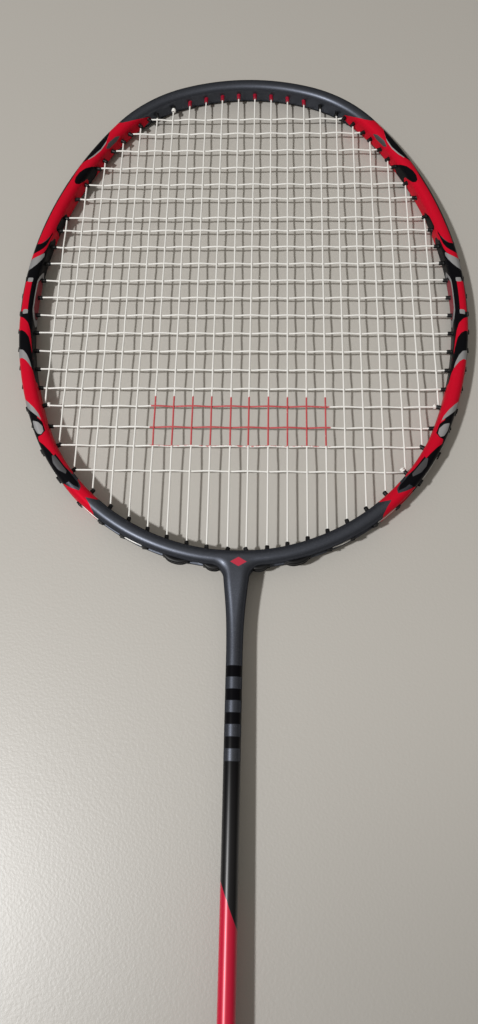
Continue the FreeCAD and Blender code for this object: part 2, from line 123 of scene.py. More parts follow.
Value = Union[Term, float, int, Sequence[float]]


class Graph:
    """A material's node tree, with one method that adds any node."""

    def __init__(self, name: str) -> None:
        """Start an empty material.

        Args:
            name: the material's name.
        """
        self.material = bpy.data.materials.new(name)
        self.material.use_nodes = True
        self.tree = self.material.node_tree
        self.tree.nodes.clear()

    def node(self, kind: str, settings: Optional[dict] = None, values: Optional[dict] = None,
             out: Union[int, str] = 0) -> Term:
        """Add one node, set it up, then feed its sockets.

        Args:
            kind: Blender's type name of the node.
            settings: attributes, set first.
            values: socket name or number to a constant or a Term.
            out: the output socket that is handed back.

        Returns:
            The chosen output as a Term.
        """
        made = self.tree.nodes.new(kind)
        for key, value in (settings or {}).items():
            setattr(made, key, value)
        for key, value in (values or {}).items():
            socket = made.inputs[key]
            if isinstance(value, Term):
                self.tree.links.new(value.socket, socket)
            elif isinstance(value, (tuple, list)) and len(value) == 3 and socket.type == "RGBA":
                socket.default_value = (*value, 1.0)
            else:
                socket.default_value = value
        return Term(self, made.outputs[out])

    def place(self) -> Term:
        """Object coordinates."""
        return self.node("ShaderNodeTexCoord", out="Object")

    def axis(self, vector: Term, index: int) -> Term:
        """One coordinate of a vector."""
        return self.node("ShaderNodeSeparateXYZ", values={0: vector}, out=index)

    def attribute(self, name: str) -> Term:
        """A number stored on the piece's points."""
        return self.node("ShaderNodeAttribute", {"attribute_name": name}, out="Fac")

    def rise(self, value: Value, edge: Value, soft: float) -> Term:
        """0 below an edge and 1 above it, smooth over twice soft."""
        return self.node("ShaderNodeMapRange", {"interpolation_type": "SMOOTHSTEP"},
                         {"Value": value, "From Min": edge - soft, "From Max": edge + soft})

    def band(self, value: Value, low: float, high: float, soft: float) -> Term:
        """1 between two edges and 0 outside them."""
        return self.rise(value, low, soft) - self.rise(value, high, soft)

    def mix(self, factor: Value, a: Value, b: Value) -> Term:
        """Colour a where factor is 0 and colour b where it is 1."""
        return self.node("ShaderNodeMix", {"data_type": "RGBA"},
                         {"Factor": factor, 6: a, 7: b}, out=2)

    def noise(self, vector: Term, scale: float, detail: float = 2.0, rough: float = 0.5) -> Term:
        """Noise with a mean of about a half."""
        return self.node("ShaderNodeTexNoise", None, {"Vector": vector, "Scale": scale,
                         "Detail": detail, "Roughness": rough}, out="Fac")

    def bump(self, height: Term, distance: float, strength: float = 1.0) -> Term:
        """A normal that tilts with a height."""
        return self.node("ShaderNodeBump", None,
                         {"Height": height, "Distance": distance, "Strength": strength})

    def surface(self, **values: Value) -> bpy.types.Material:
        """End the material in a Principled shader.

        Args:
            values: sockets by name, with underscores for spaces.

        Returns:
            The finished material.
        """
        named = {key.replace("_", " "): value for key, value in values.items()}
        shader = self.node("ShaderNodeBsdfPrincipled", None, named)
        output = self.tree.nodes.new("ShaderNodeOutputMaterial")
        self.tree.links.new(shader.socket, output.inputs["Surface"])
        return self.material


# ------------------------------------------------------------------ finishes

class Tone(Enum):
    """Base colours of the racket's paints and plastics."""

    GRAPHITE = (0.072, 0.079, 0.097)
    RED = (0.60, 0.004, 0.022)
    DUSTY_RED = (0.30, 0.045, 0.060)
    CRIMSON = (0.52, 0.004, 0.034)
    SILVER = (0.44, 0.44, 0.45)
    GREY = (0.10, 0.10, 0.105)
    BLACK = (0.0035, 0.0035, 0.0045)


@dataclass(frozen=True)
class PaintLayer:
    """Shapes of one colour on the hoop, laid over the layers before it.

    Each corner is (degrees round the head from its top, place across the section). The second runs
    from -1 at the middle of the inner wall, over 0 at the crest of the face, to 1 at the middle of
    the outer wall. Both sides and both faces carry the same shapes.
    """

    tone: Tone
    shapes: tuple[tuple[tuple[float, float], ...], ...]


HOOP_PAINT = (
    PaintLayer(Tone.RED, (
        ((24.5, -1.3), (25.8, -0.8), (29.0, -0.46), (31.6, -0.2), (33.2, 0.05), (34.2, 0.5), (35.0, 1.3),
         (79.0, 1.3), (77.5, 0.3), (76.8, 0.0), (75.5, -0.2), (73.5, -0.36), (74.5, -0.7), (72.0, -1.3)),
    )),
    PaintLayer(Tone.SILVER, (
        ((37.4, 0.25), (38.6, 0.0), (40.2, -0.2), (42.6, -0.26), (45.2, -0.16), (47.2, 0.02), (44.0, 0.3)),
    )),
    PaintLayer(Tone.GREY, (
        ((35.4, -0.52), (36.8, -0.34), (39.5, -0.28), (41.0, -0.42), (40.0, -0.6), (37.0, -0.64)),
    )),
    PaintLayer(Tone.BLACK, (
        ((46.0, 0.6), (49.0, 0.32), (54.0, 0.2), (70.0, 0.24), (77.2, 0.3), (78.0, 1.3), (44.0, 1.3)),
        ((36.4, 0.5), (37.8, 0.12), (39.4, -0.1), (42.2, -0.19), (45.0, -0.09), (47.5, 0.1), (50.0, 0.45),
         (51.0, 1.3), (38.0, 1.3)),
        ((44.8, -1.3), (46.0, -0.8), (47.6, -0.46), (49.4, -0.2), (51.6, -0.02), (53.4, 0.0),
         (54.7, -0.1), (55.0, -0.26), (54.2, -0.46), (52.6, -0.62), (50.8, -0.8), (50.0, -1.3)),
        ((62.2, -1.3), (63.8, -0.85), (66.0, -0.58), (69.8, -0.54), (70.4, -0.66), (69.0, -1.3)),
        ((71.4, -1.3), (72.8, -0.78), (75.0, -0.56), (71.2, -0.44), (74.6, -0.33), (76.2, -0.15),
         (76.9, 0.05), (77.2, 0.4), (78.5, 1.3), (143.0, 1.3), (144.5, 0.5), (142.6, 0.16), (145.0, 0.06),
         (146.6, -0.1), (145.6, -0.28), (141.0, -0.30), (138.0, -0.36), (131.0, -0.24), (128.0, -0.5),
         (120.0, -0.56), (118.0, -1.3)),
    )),
    PaintLayer(Tone.RED, (
        ((70.0, -0.70), (72.6, -0.47), (76.4, -0.37), (78.0, -0.24), (79.2, -0.05), (80.0, 0.2), (80.4, 0.7),
         (82.6, 0.7), (81.8, 0.2), (81.0, -0.08), (79.6, -0.32), (77.8, -0.44), (74.6, -0.52), (71.6, -0.8)),
        ((89.0, -0.12), (89.0, 0.36), (98.2, 0.36), (98.2, -0.12)),
        ((99.2, 0.5), (100.4, 0.08), (101.9, -0.2), (104.0, -0.35), (107.0, -0.45), (113.0, -0.53),
         (109.0, -0.41), (106.2, -0.28), (104.7, -0.06), (103.8, 0.18), (103.4, 0.5)),
        ((110.8, 0.7), (111.5, 0.15), (112.7, -0.06), (114.4, -0.27), (116.0, -0.42), (119.0, -0.52),
         (119.0, -1.3), (140.0, -1.3), (143.5, -0.4), (141.0, -0.25), (137.6, -0.2), (138.4, -0.08),
         (136.0, 0.04), (134.0, 0.2), (132.4, 0.42), (130.0, 0.1), (127.0, -0.1), (124.5, 0.1), (122.5, 0.7)),
        ((142.6, 0.55), (145.2, 0.24), (146.9, 0.0), (146.6, -0.25), (145.0, -0.4), (144.0, -1.3),
         (151.5, -1.3), (150.8, -0.35), (149.6, -0.12), (148.7, 0.02), (150.2, 0.16), (151.6, 0.4),
         (152.5, 1.3), (145.0, 1.3)),
    )),
    PaintLayer(Tone.DUSTY_RED, (
        ((85.6, -1.3), (87.0, -0.84), (88.5, -0.55), (97.4, -0.55), (98.8, -0.8), (99.6, -1.3)),
    )),
    PaintLayer(Tone.SILVER, (
        ((79.0, -0.44), (80.6, -0.16), (81.6, 0.12), (82.2, 0.5), (85.6, 0.5), (85.0, 0.12), (83.6, -0.14),
         (81.6, -0.36), (80.2, -0.46)),
        ((82.6, -1.3), (84.9, -0.82), (86.7, -0.56), (88.3, -0.45), (97.9, -0.44), (100.2, -0.56),
         (101.6, -0.9), (102.2, -1.3), (100.3, -1.3), (99.5, -0.9), (98.2, -0.62), (97.0, -0.54),
         (88.6, -0.54), (87.2, -0.68), (85.8, -0.95), (84.6, -1.3)),
        ((88.0, -0.15), (88.0, 0.2), (89.3, 0.2), (89.3, -0.15)),
        ((97.8, -0.14), (97.8, 0.2), (99.1, 0.2), (99.1, -0.14)),
        ((108.6, 0.5), (109.6, 0.1), (111.0, -0.1), (113.0, -0.26), (115.4, -0.36), (113.9, -0.2),
         (112.6, -0.02), (111.6, 0.2), (111.2, 0.5)),
        ((121.4, 0.6), (123.9, 0.5), (125.8, 0.2), (127.6, -0.07), (129.0, -0.24), (127.2, -0.18),
         (125.2, 0.0), (123.2, 0.26)),
    )),
    PaintLayer(Tone.BLACK, (
        ((124.0, 0.8), (125.6, 0.34), (127.4, 0.04), (129.4, -0.26), (131.6, -0.24), (132.0, 0.05),
         (131.6, 0.4), (130.8, 0.8)),
        ((133.6, 0.6), (135.4, 0.2), (137.6, -0.02), (137.4, -0.18), (141.6, -0.2), (144.0, 0.1),
         (143.0, 0.6)),
    )),
    PaintLayer(Tone.SILVER, (
        ((127.7, 0.32), (128.9, 0.0), (130.3, -0.17), (131.5, -0.12), (131.8, 0.08), (131.0, 0.28),
         (129.4, 0.38)),
    )),
    PaintLayer(Tone.GREY, (
        ((137.2, 0.06), (138.6, 0.24), (140.4, 0.2), (142.4, -0.04), (142.0, -0.18), (139.6, -0.14),
         (137.6, -0.08)),
    )),
)


@dataclass(frozen=True)
class HoopLacquer:
    """Clear-coated metallic paint with the flashes of the hoop."""

    name: str = "hoop_lacquer"
    flake_scale: float = 4200.0
    edge_soft: float = 0.09
    badge_middle: tuple[float, float] = (1.0, 414.2)
    badge_half: tuple[float, float] = (3.4, 2.0)

    def paint(self, graph: Graph, place: Term) -> tuple[Term, Term]:
        """Lay the flashes over the graphite ground.

        Args:
            graph: the material that is being made.
            place: object coordinates.

        Returns:
            The colour and how metallic it is.
        """
        colour: Value = Tone.GRAPHITE.value
        metal: Value = 0.85
        for number, layer in enumerate(HOOP_PAINT):
            mask = graph.rise(graph.attribute(f"paint_{number}"), 0.0, self.edge_soft)
            colour = graph.mix(mask, colour, layer.tone.value)
            shine = {Tone.BLACK: 0.0, Tone.SILVER: 0.6, Tone.GREY: 0.6}.get(layer.tone, 0.12)
            metal = mask * shine + (1.0 - mask) * metal
        x = graph.axis(place, 0) * 1000.0
        y = graph.axis(place, 1) * 1000.0
        along, up = abs(x - self.badge_middle[0]), abs(y - self.badge_middle[1])
        lozenge = 1.0 - along / self.badge_half[0] - up / self.badge_half[1]
        badge = graph.rise(lozenge, 0.0, 0.03) * graph.rise(graph.axis(place, 2), 0.0, 0.0002)
        return graph.mix(badge, colour, (0.50, 0.04, 0.07)), metal * (1.0 - badge)

    def build(self) -> bpy.types.Material:
        """Make the material."""
        graph = Graph(self.name)
        place = graph.place()
        colour, metal = self.paint(graph, place)
        flake = graph.noise(place, self.flake_scale, 1.0)
        cloud = graph.noise(place, 90.0, 3.0)
        sparkle = graph.rise(flake, 0.63, 0.08) * metal * 0.25
        tinted = graph.mix(sparkle, colour, (0.34, 0.36, 0.42))
        shade = graph.mix(cloud * 0.10, tinted, (0.02, 0.02, 0.024))
        scuff = graph.bump(graph.noise(place, 900.0, 4.0), 0.00002, 0.3)
        return graph.surface(Base_Color=shade, Metallic=metal, Roughness=0.34 + metal * 0.07 + cloud * 0.06,
                             Normal=scuff, Coat_Weight=0.04, Coat_Roughness=0.2, Specular_IOR_Level=0.06,
                             Specular_Tint=(0.08, 0.08, 0.08))


@dataclass(frozen=True)
class ShaftLacquer:
    """Graphite, then plain black rings, then gloss black, then crimson down the shaft."""

    name: str = "shaft_lacquer"
    rings: int = 4
    rings_top: float = 372.4
    ring_pitch: float = 9.0
    ring_wide: float = 4.5
    crimson_start: float = 286.8
    crimson_slope: float = 2.45

    def build(self) -> bpy.types.Material:
        """Make the material."""
        graph = Graph(self.name)
        place = graph.place()
        x = graph.axis(place, 0) * 1000.0
        y = graph.axis(place, 1) * 1000.0
        black = 1.0 - graph.rise(y, self.rings_top - self.rings * self.ring_pitch, 0.3)
        for ring in range(self.rings):
            high = self.rings_top - ring * self.ring_pitch
            black = black.at_least(graph.band(y, high - self.ring_wide, high, 0.2))
        red = 1.0 - graph.rise(y + x * self.crimson_slope, self.crimson_start, 0.35)
        black = black * (1.0 - red)
        colour = graph.mix(black, Tone.GRAPHITE.value, Tone.BLACK.value)
        colour = graph.mix(red, colour, Tone.CRIMSON.value)
        metal = (1.0 - black) * (1.0 - red * 0.9) * 0.85
        flake = graph.noise(place, 4200.0, 1.0)
        colour = graph.mix(graph.rise(flake, 0.63, 0.08) * metal * 0.25, colour, (0.34, 0.36, 0.42))
        cloud = graph.noise(place, 120.0, 3.0)
        gloss = 1.0 - graph.rise(y, 330.0, 30.0)
        ripple = graph.noise(place, 260.0, 2.0) * 2.0 + graph.noise(place, 900.0, 3.0)
        return graph.surface(Base_Color=colour, Metallic=metal,
                             Roughness=0.39 + cloud * 0.06 - gloss * 0.13,
                             Normal=graph.bump(ripple, 0.00003, 0.2), Coat_Weight=0.03 + gloss * 0.8,
                             Coat_Roughness=0.35, Specular_IOR_Level=0.08, Specular_Tint=(0.08, 0.08, 0.08))


@dataclass(frozen=True)
class MouldedNylon:
    """Injection-moulded plastic: fine grain, worn lighter in random patches."""

    name: str
    colour: Colour
    worn: Colour
    grain: float = 2600.0
    roughness: float = 0.42

    def build(self) -> bpy.types.Material:
        """Make the material."""
        graph = Graph(self.name)
        place = graph.place()
        grain = graph.noise(place, self.grain, 2.0)
        cloud = graph.noise(place, 160.0, 3.0)
        colour = graph.mix(graph.rise(cloud, 0.58, 0.2) * 0.5, self.colour, self.worn)
        bump = graph.bump(grain, 0.00003, 0.5)
        return graph.surface(Base_Color=colour, Roughness=self.roughness + cloud * 0.16 - 0.08,
                             Normal=bump, Specular_IOR_Level=0.25)


@dataclass(frozen=True)
class StringNylon:
    """White string with a fine braid, and one plain printed band low in the bed."""

    name: str = "string_nylon"
    white: Colour = (0.88, 0.87, 0.84)
    ink: Colour = (0.52, 0.010, 0.020)
    band_low: float = 468.0
    band_high: float = 492.0
    band_half: float = 40.0

    def build(self) -> bpy.types.Material:
        """Make the material."""
        graph = Graph(self.name)
        place = graph.place()
        x = graph.axis(place, 0) * 1000.0
        y = graph.axis(place, 1) * 1000.0
        rag = (graph.noise(place, 700.0, 3.0) - 0.5) * 2.2
        inked = graph.band(y + rag, self.band_low, self.band_high, 0.25)
        inked = inked * (1.0 - graph.rise(abs(x) + rag, self.band_half, 0.25))
        facing = graph.axis(graph.node("ShaderNodeNewGeometry", out="Normal"), 2)
        coverage = graph.rise(graph.noise(place, 1500.0, 2.0), 0.24, 0.12)
        inked = inked * graph.rise(facing, -0.1, 0.25) * coverage
        braid = (graph.attribute("down_cord") * 6500.0).sine() * (graph.attribute("round_cord") * 4.0).sine()
        soil = graph.noise(place, 60.0, 3.0)
        base = graph.mix(soil * 0.25, self.white, (0.62, 0.60, 0.54))
        colour = graph.mix(inked * 0.92, base, self.ink)
        return graph.surface(Base_Color=colour, Roughness=0.38 + soil * 0.1,
                             Normal=graph.bump(braid, 0.00003, 0.5), Specular_IOR_Level=0.5)


@dataclass(frozen=True)
class PerforatedTape:
    """Soft polyurethane grip tape: fine leather grain and rows of small holes, painted near-black as shade
    inside them.
    """

    name: str = "grip_polyurethane"
    colour: Colour = (0.020, 0.020, 0.023)
    pitch: float = 23.0
    rows: int = 4
    holes_each_turn: int = 17

    def build(self) -> bpy.types.Material:
        """Make the material."""
        graph = Graph(self.name)
        place = graph.place()
        wrap = graph.node("ShaderNodeUVMap", {"uv_map": "wrap"}, out="UV")
        turn = graph.axis(wrap, 0)
        height = graph.axis(wrap, 1)
        across = (height - turn).fraction()
        row = across * float(self.rows + 1)
        line = row.floor()
        shift = (line * 0.5).fraction()
        cell = ((turn * float(self.holes_each_turn) + shift).fraction() - 0.5)
        cell_v = row.fraction() - 0.5
        stretch = (self.pitch / (self.rows + 1)) / (84.0 / self.holes_each_turn)
        distance = (cell * cell + (cell_v * stretch) * (cell_v * stretch)) ** 0.5
        hole = 1.0 - graph.rise(distance, 0.10, 0.03)
        hole = hole * graph.rise(line, 0.5, 0.1)
        leather = graph.node("ShaderNodeTexVoronoi", {"feature": "SMOOTH_F1"},
                             {"Vector": place, "Scale": 1100.0}, out="Distance")
        cloud = graph.noise(place, 70.0, 3.0)
        colour = graph.mix(cloud * 0.4, self.colour, (0.034, 0.033, 0.034))
        # Painted shade: the holes are coloured near-black for the shade inside them; the relief below also
        # sinks them.
        colour = graph.mix(hole, colour, (0.003, 0.003, 0.003))
        relief = leather * 0.25 - hole * 2.0
        return graph.surface(Base_Color=colour, Roughness=0.55 + cloud * 0.15,
                             Normal=graph.bump(relief, 0.0002, 0.6), Sheen_Weight=0.15)


@dataclass(frozen=True)
class FinishingFilm:
    """Thin black vinyl: faint creases and a soft gloss."""

    name: str = "finishing_film"
    colour: Colour = (0.012, 0.012, 0.013)

    def build(self) -> bpy.types.Material:
        """Make the material."""
        graph = Graph(self.name)
        place = graph.place()
        crease = graph.noise(place, 160.0, 4.0, 0.6)
        fine = graph.noise(place, 1800.0, 2.0)
        colour = graph.mix(graph.rise(crease, 0.6, 0.15) * 0.4, self.colour, (0.05, 0.05, 0.052))
        return graph.surface(Base_Color=colour, Roughness=0.24 + fine * 0.14,
                             Normal=graph.bump(crease + fine * 0.2, 0.00015, 0.35))


@dataclass(frozen=True)
class BadgeFilm:
    """Round butt badge: brushed silver rim, red field, plain dark centre ring."""

    name: str = "badge_film"

    def build(self) -> bpy.types.Material:
        """Make the material."""
        graph = Graph(self.name)
        place = graph.place()
        x, z = graph.axis(place, 0) * 1000.0, graph.axis(place, 2) * 1000.0
        radius = (x * x + z * z) ** 0.5
        brushed = graph.noise(graph.node("ShaderNodeVectorMath", {"operation": "MULTIPLY"},
                                         {0: place, 1: (6000.0, 1.0, 120.0)}), 1.0, 2.0)
        colour = graph.mix(graph.rise(radius, 6.6, 0.05), Tone.RED.value, Tone.SILVER.value)
        ring = graph.band(radius, 2.6, 3.6, 0.05)
        colour = graph.mix(ring, colour, Tone.BLACK.value)
        colour = graph.mix(brushed * 0.2, colour, (0.1, 0.1, 0.1))
        rim = graph.rise(radius, 6.6, 0.05)
        return graph.surface(Base_Color=colour, Metallic=rim * 0.8, Roughness=0.3 + brushed * 0.15,
                             Coat_Weight=0.4,
                             Normal=graph.bump(ring * -1.0 + rim + brushed * 0.1, 0.0001, 0.6))


@dataclass(frozen=True)
class Wood:
    """Pale straight-grained wood, grain along the handle."""

    name: str = "handle_wood"

    def build(self) -> bpy.types.Material:
        """Make the material."""
        graph = Graph(self.name)
        place = graph.place()
        long = graph.node("ShaderNodeVectorMath", {"operation": "MULTIPLY"},
                          {0: place, 1: (420.0, 14.0, 420.0)})
        grain = graph.noise(long, 1.0, 5.0, 0.6)
        pore = graph.noise(long, 4.0, 2.0)
        colour = graph.mix(grain, (0.30, 0.17, 0.08), (0.62, 0.42, 0.24))
        colour = graph.mix(graph.rise(pore, 0.62, 0.06) * 0.5, colour, (0.16, 0.08, 0.035))
        return graph.surface(Base_Color=colour, Roughness=0.62 + grain * 0.1,
                             Normal=graph.bump(grain + pore * 0.5, 0.0002, 0.5))


@dataclass(frozen=True)
class Foam:
    """Rigid closed-cell foam."""

    name: str = "core_foam"

    def build(self) -> bpy.types.Material:
        """Make the material."""
        graph = Graph(self.name)
        place = graph.place()
        cells = graph.node("ShaderNodeTexVoronoi", None, {"Vector": place, "Scale": 1600.0}, out="Distance")
        cloud = graph.noise(place, 60.0, 2.0)
        colour = graph.mix(cells, (0.62, 0.58, 0.46), (0.80, 0.77, 0.66))
        return graph.surface(Base_Color=colour, Roughness=0.8 + cloud * 0.1,
                             Normal=graph.bump(cells, 0.0003, 0.7))


@dataclass(frozen=True)
class FibreResin:
    """Moulded resin with short dark fibres."""

    name: str = "insert_resin"

    def build(self) -> bpy.types.Material:
        """Make the material."""
        graph = Graph(self.name)
        place = graph.place()
        strands = graph.noise(graph.node("ShaderNodeVectorMath", {"operation": "MULTIPLY"},
                                         {0: place, 1: (300.0, 2600.0, 2600.0)}), 1.0, 3.0)
        cloud = graph.noise(place, 140.0, 3.0)
        colour = graph.mix(graph.rise(strands, 0.55, 0.1), (0.014, 0.014, 0.015), (0.06, 0.06, 0.062))
        return graph.surface(Base_Color=colour, Roughness=0.4 + cloud * 0.15,
                             Normal=graph.bump(strands, 0.00008, 0.5))


@dataclass(frozen=True)
class DrawnWire:
    """Bright drawn steel wire."""

    name: str = "staple_steel"

    def build(self) -> bpy.types.Material:
        """Make the material."""
        graph = Graph(self.name)
        place = graph.place()
        draw = graph.noise(graph.node("ShaderNodeVectorMath", {"operation": "MULTIPLY"},
                                      {0: place, 1: (200.0, 5000.0, 5000.0)}), 1.0, 2.0)
        colour = graph.mix(draw, (0.42, 0.42, 0.43), (0.60, 0.60, 0.61))
        return graph.surface(Base_Color=colour, Metallic=0.95, Roughness=0.26 + draw * 0.15,
                             Normal=graph.bump(draw, 0.00002, 0.5))


@dataclass(frozen=True)
class PaleFloor:
    """Plain pale surface with a very fine leathery grain, and painted shade that darkens it towards the
    handle, more so on the right, in place of the light's falloff.
    """

    name: str = "pale_floor"
    painted_shade_y: float = 0.30
    painted_shade_soft: float = 0.09
    painted_shade_share: float = 0.32
    colour: Colour = (0.475, 0.455, 0.42)

    def build(self) -> bpy.types.Material:
        """Make the material."""
        graph = Graph(self.name)
        place = graph.place()
        grain = graph.noise(place, 900.0, 3.0)
        cloud = graph.noise(place, 12.0, 2.0)
        # Painted shade: darker towards the handle and towards the right, standing in for the light falling
        # off across the floor.
        low = 1.0 - graph.rise(graph.axis(place, 1), self.painted_shade_y, self.painted_shade_soft)
        right = graph.rise(graph.axis(place, 0), 0.0, 0.2) * 0.4 + 0.6
        ground = graph.mix(low * right * self.painted_shade_share, self.colour, (0.0, 0.0, 0.0))
        colour = graph.mix(cloud * 0.12, ground, (0.43, 0.41, 0.378))
        return graph.surface(Base_Color=colour, Roughness=0.41, Specular_IOR_Level=0.75,
                             Normal=graph.bump(grain, 0.00012, 0.5))


# ------------------------------------------------------------------ mesh helpers

def piece_from(name: str, points: np.ndarray, faces: Sequence[Sequence[int]],
               numbers: Optional[dict[str, np.ndarray]] = None, smooth: bool = True) -> bpy.types.Object:
    """Make a mesh piece in place.

    Args:
        name: the piece's name.
        points: corner positions, n by 3.
        faces: corner numbers of each face.
        numbers: attribute name to one number for each point.
        smooth: whether its faces are smooth-shaded.

    Returns:
        The new object.
    """
    mesh = bpy.data.meshes.new(name)
    mesh.from_pydata(np.asarray(points).tolist(), [], [list(face) for face in faces])
    mesh.update()
    mesh.polygons.foreach_set("use_smooth", [smooth] * len(mesh.polygons))
    for key, values in (numbers or {}).items():
        layer = mesh.attributes.new(key, "FLOAT", "POINT")
        layer.data.foreach_set("value", np.asarray(values, np.float32))
    made = bpy.data.objects.new(name, mesh)
    bpy.context.scene.collection.objects.link(made)
    return made


def grid_faces(rows: int, columns: int, close_rows: bool = False, close_columns: bool = True) -> list:
    """Quads of a grid whose points run along each row in turn."""
    faces = []
    for r in range(rows if close_rows else rows - 1):
        for c in range(columns if close_columns else columns - 1):
            r2, c2 = (r + 1) % rows, (c + 1) % columns
            faces.append((r * columns + c, r * columns + c2, r2 * columns + c2, r2 * columns + c))
    return faces


def face_outwards(made: bpy.types.Object) -> None:
    """Merge doubles and turn every face outwards."""
    work = bmesh.new()
    work.from_mesh(made.data)
    bmesh.ops.remove_doubles(work, verts=work.verts, dist=1e-7)
    bmesh.ops.recalc_face_normals(work, faces=work.faces)
    work.to_mesh(made.data)
    work.free()
    made.data.update()


def dress(made: bpy.types.Object, material: bpy.types.Material, slot: str, *nodes: str) -> None:
    """Give a piece its finish and its body, and hide the CAD nodes that it stands for."""
    made.data.materials.clear()
    made.data.materials.append(material)
    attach(made, BODY)
    if nodes:
        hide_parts(*nodes)
    LOG.info("%s: %d faces", made.name, len(made.data.polygons))


def repaint(node: str, material: bpy.types.Material) -> None:
    """Give a CAD node that stays as it is its finish."""
    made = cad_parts[node]
    if not made.material_slots:
        made.data.materials.append(material)
    for slot in made.material_slots:
        slot.material = material
    LOG.info("%s: kept, finish %s", node, material.name)


# ------------------------------------------------------------------ the head's outline

@dataclass
class HoopOutline:
    """The middle line of the hoop: tangent arcs from the top round to the throat and back."""

    radii: tuple[float, ...] = (104.0, 65.0, 177.0, 163.0, 97.0)
    turns: tuple[float, ...] = (18.0, 34.0, 30.0, 30.0, 50.0, 18.0)
    half_width: float = 3.3
    arcs: list = field(default_factory=list)
    length: float = field(init=False, default=0.0)
    foot: float = field(init=False, default=0.0)

    def __post_init__(self) -> None:
        """Work out the closing arc and every arc's place, in millimetres."""
        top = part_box("head_frame")[1].y / MM - self.half_width
        heading, drift = 0.0, 0.0
        for radius, turn in zip(self.radii, self.turns):
            after = heading + math.radians(turn)
            drift += radius * (math.sin(after) - math.sin(heading))
            heading = after
        half = list(self.radii) + [drift / math.sin(heading)]
        x, y, heading, run = 0.0, top, 0.0, 0.0
        for radius, turn in zip(half + half[::-1], list(self.turns) + list(self.turns[::-1])):
            centre = (x - radius * math.sin(heading), y - radius * math.cos(heading))
            after = heading + math.radians(turn)
            self.arcs.append((*centre, radius, heading, after, run))
            x = centre[0] + radius * math.sin(after)
            y = centre[1] + radius * math.cos(after)
            run += radius * (after - heading)
            heading = after
        self.length = run
        bottom = self.arcs[len(half) - 1]
        self.foot = bottom[1] - bottom[2] - self.half_width

    def at_heading(self, heading: float, out: float = 0.0) -> np.ndarray:
        """The point where the outward direction has this heading, moved outwards."""
        heading = heading % (2 * math.pi)
        for cx, cy, radius, start, end, _ in self.arcs:
            if start - 1e-9 <= heading <= end + 1e-9:
                break
        reach = radius + out
        return np.array([cx + reach * math.sin(heading), cy + reach * math.cos(heading), 0.0])

    def heading_of(self, run: float) -> float:
        """The heading at a distance along the line from the top."""
        run = run % self.length
        for _, _, radius, start, _, before in reversed(self.arcs):
            if run >= before:
                return start + (run - before) / radius
        return 0.0

    def distance(self, x: np.ndarray, y: np.ndarray) -> np.ndarray:
        """Signed distance of points from the middle line, positive outside."""
        best = np.full(np.shape(x), 1e9)
        signed = np.zeros(np.shape(x))
        for cx, cy, radius, start, end, _ in self.arcs:
            heading = np.mod(np.arctan2(x - cx, y - cy), 2 * math.pi)
            reach = np.hypot(x - cx, y - cy) - radius
            inside = (heading >= start - 1e-6) & (heading <= end + 1e-6)
            closer = inside & (np.abs(reach) < best)
            best = np.where(closer, np.abs(reach), best)
            signed = np.where(closer, reach, signed)
        return signed

    def meet(self, level: float, axis: int, positive: bool) -> float:
        """Heading where a line across the head meets the hoop's inner face.

        Args:
            level: the line's x or y.
            axis: 0 for an upright line at x, 1 for a level line at y.
            positive: the end at the top or on the right.

        Returns:
            The heading, in radians clockwise from the top.
        """
        for cx, cy, radius, start, end, _ in self.arcs:
            reach = radius - self.half_width
            off = level - (cx if axis == 0 else cy)
            if abs(off) > reach:
                continue
            other = math.sqrt(reach ** 2 - off ** 2)
            for side in (other, -other):
                pair = (off, side) if axis == 0 else (side, off)
                heading = math.atan2(*pair) % (2 * math.pi)
                way = math.cos(heading) if axis == 0 else math.sin(heading)
                if start <= heading <= end and (way > 0) == positive:
                    return heading
        raise ValueError(f"no crossing at {level}")


@dataclass
class Hole:
    """One string hole: where it is, which way it runs and whose string ends use it."""

    heading: float
    names: list
    inner: np.ndarray = None
    direction: np.ndarray = None


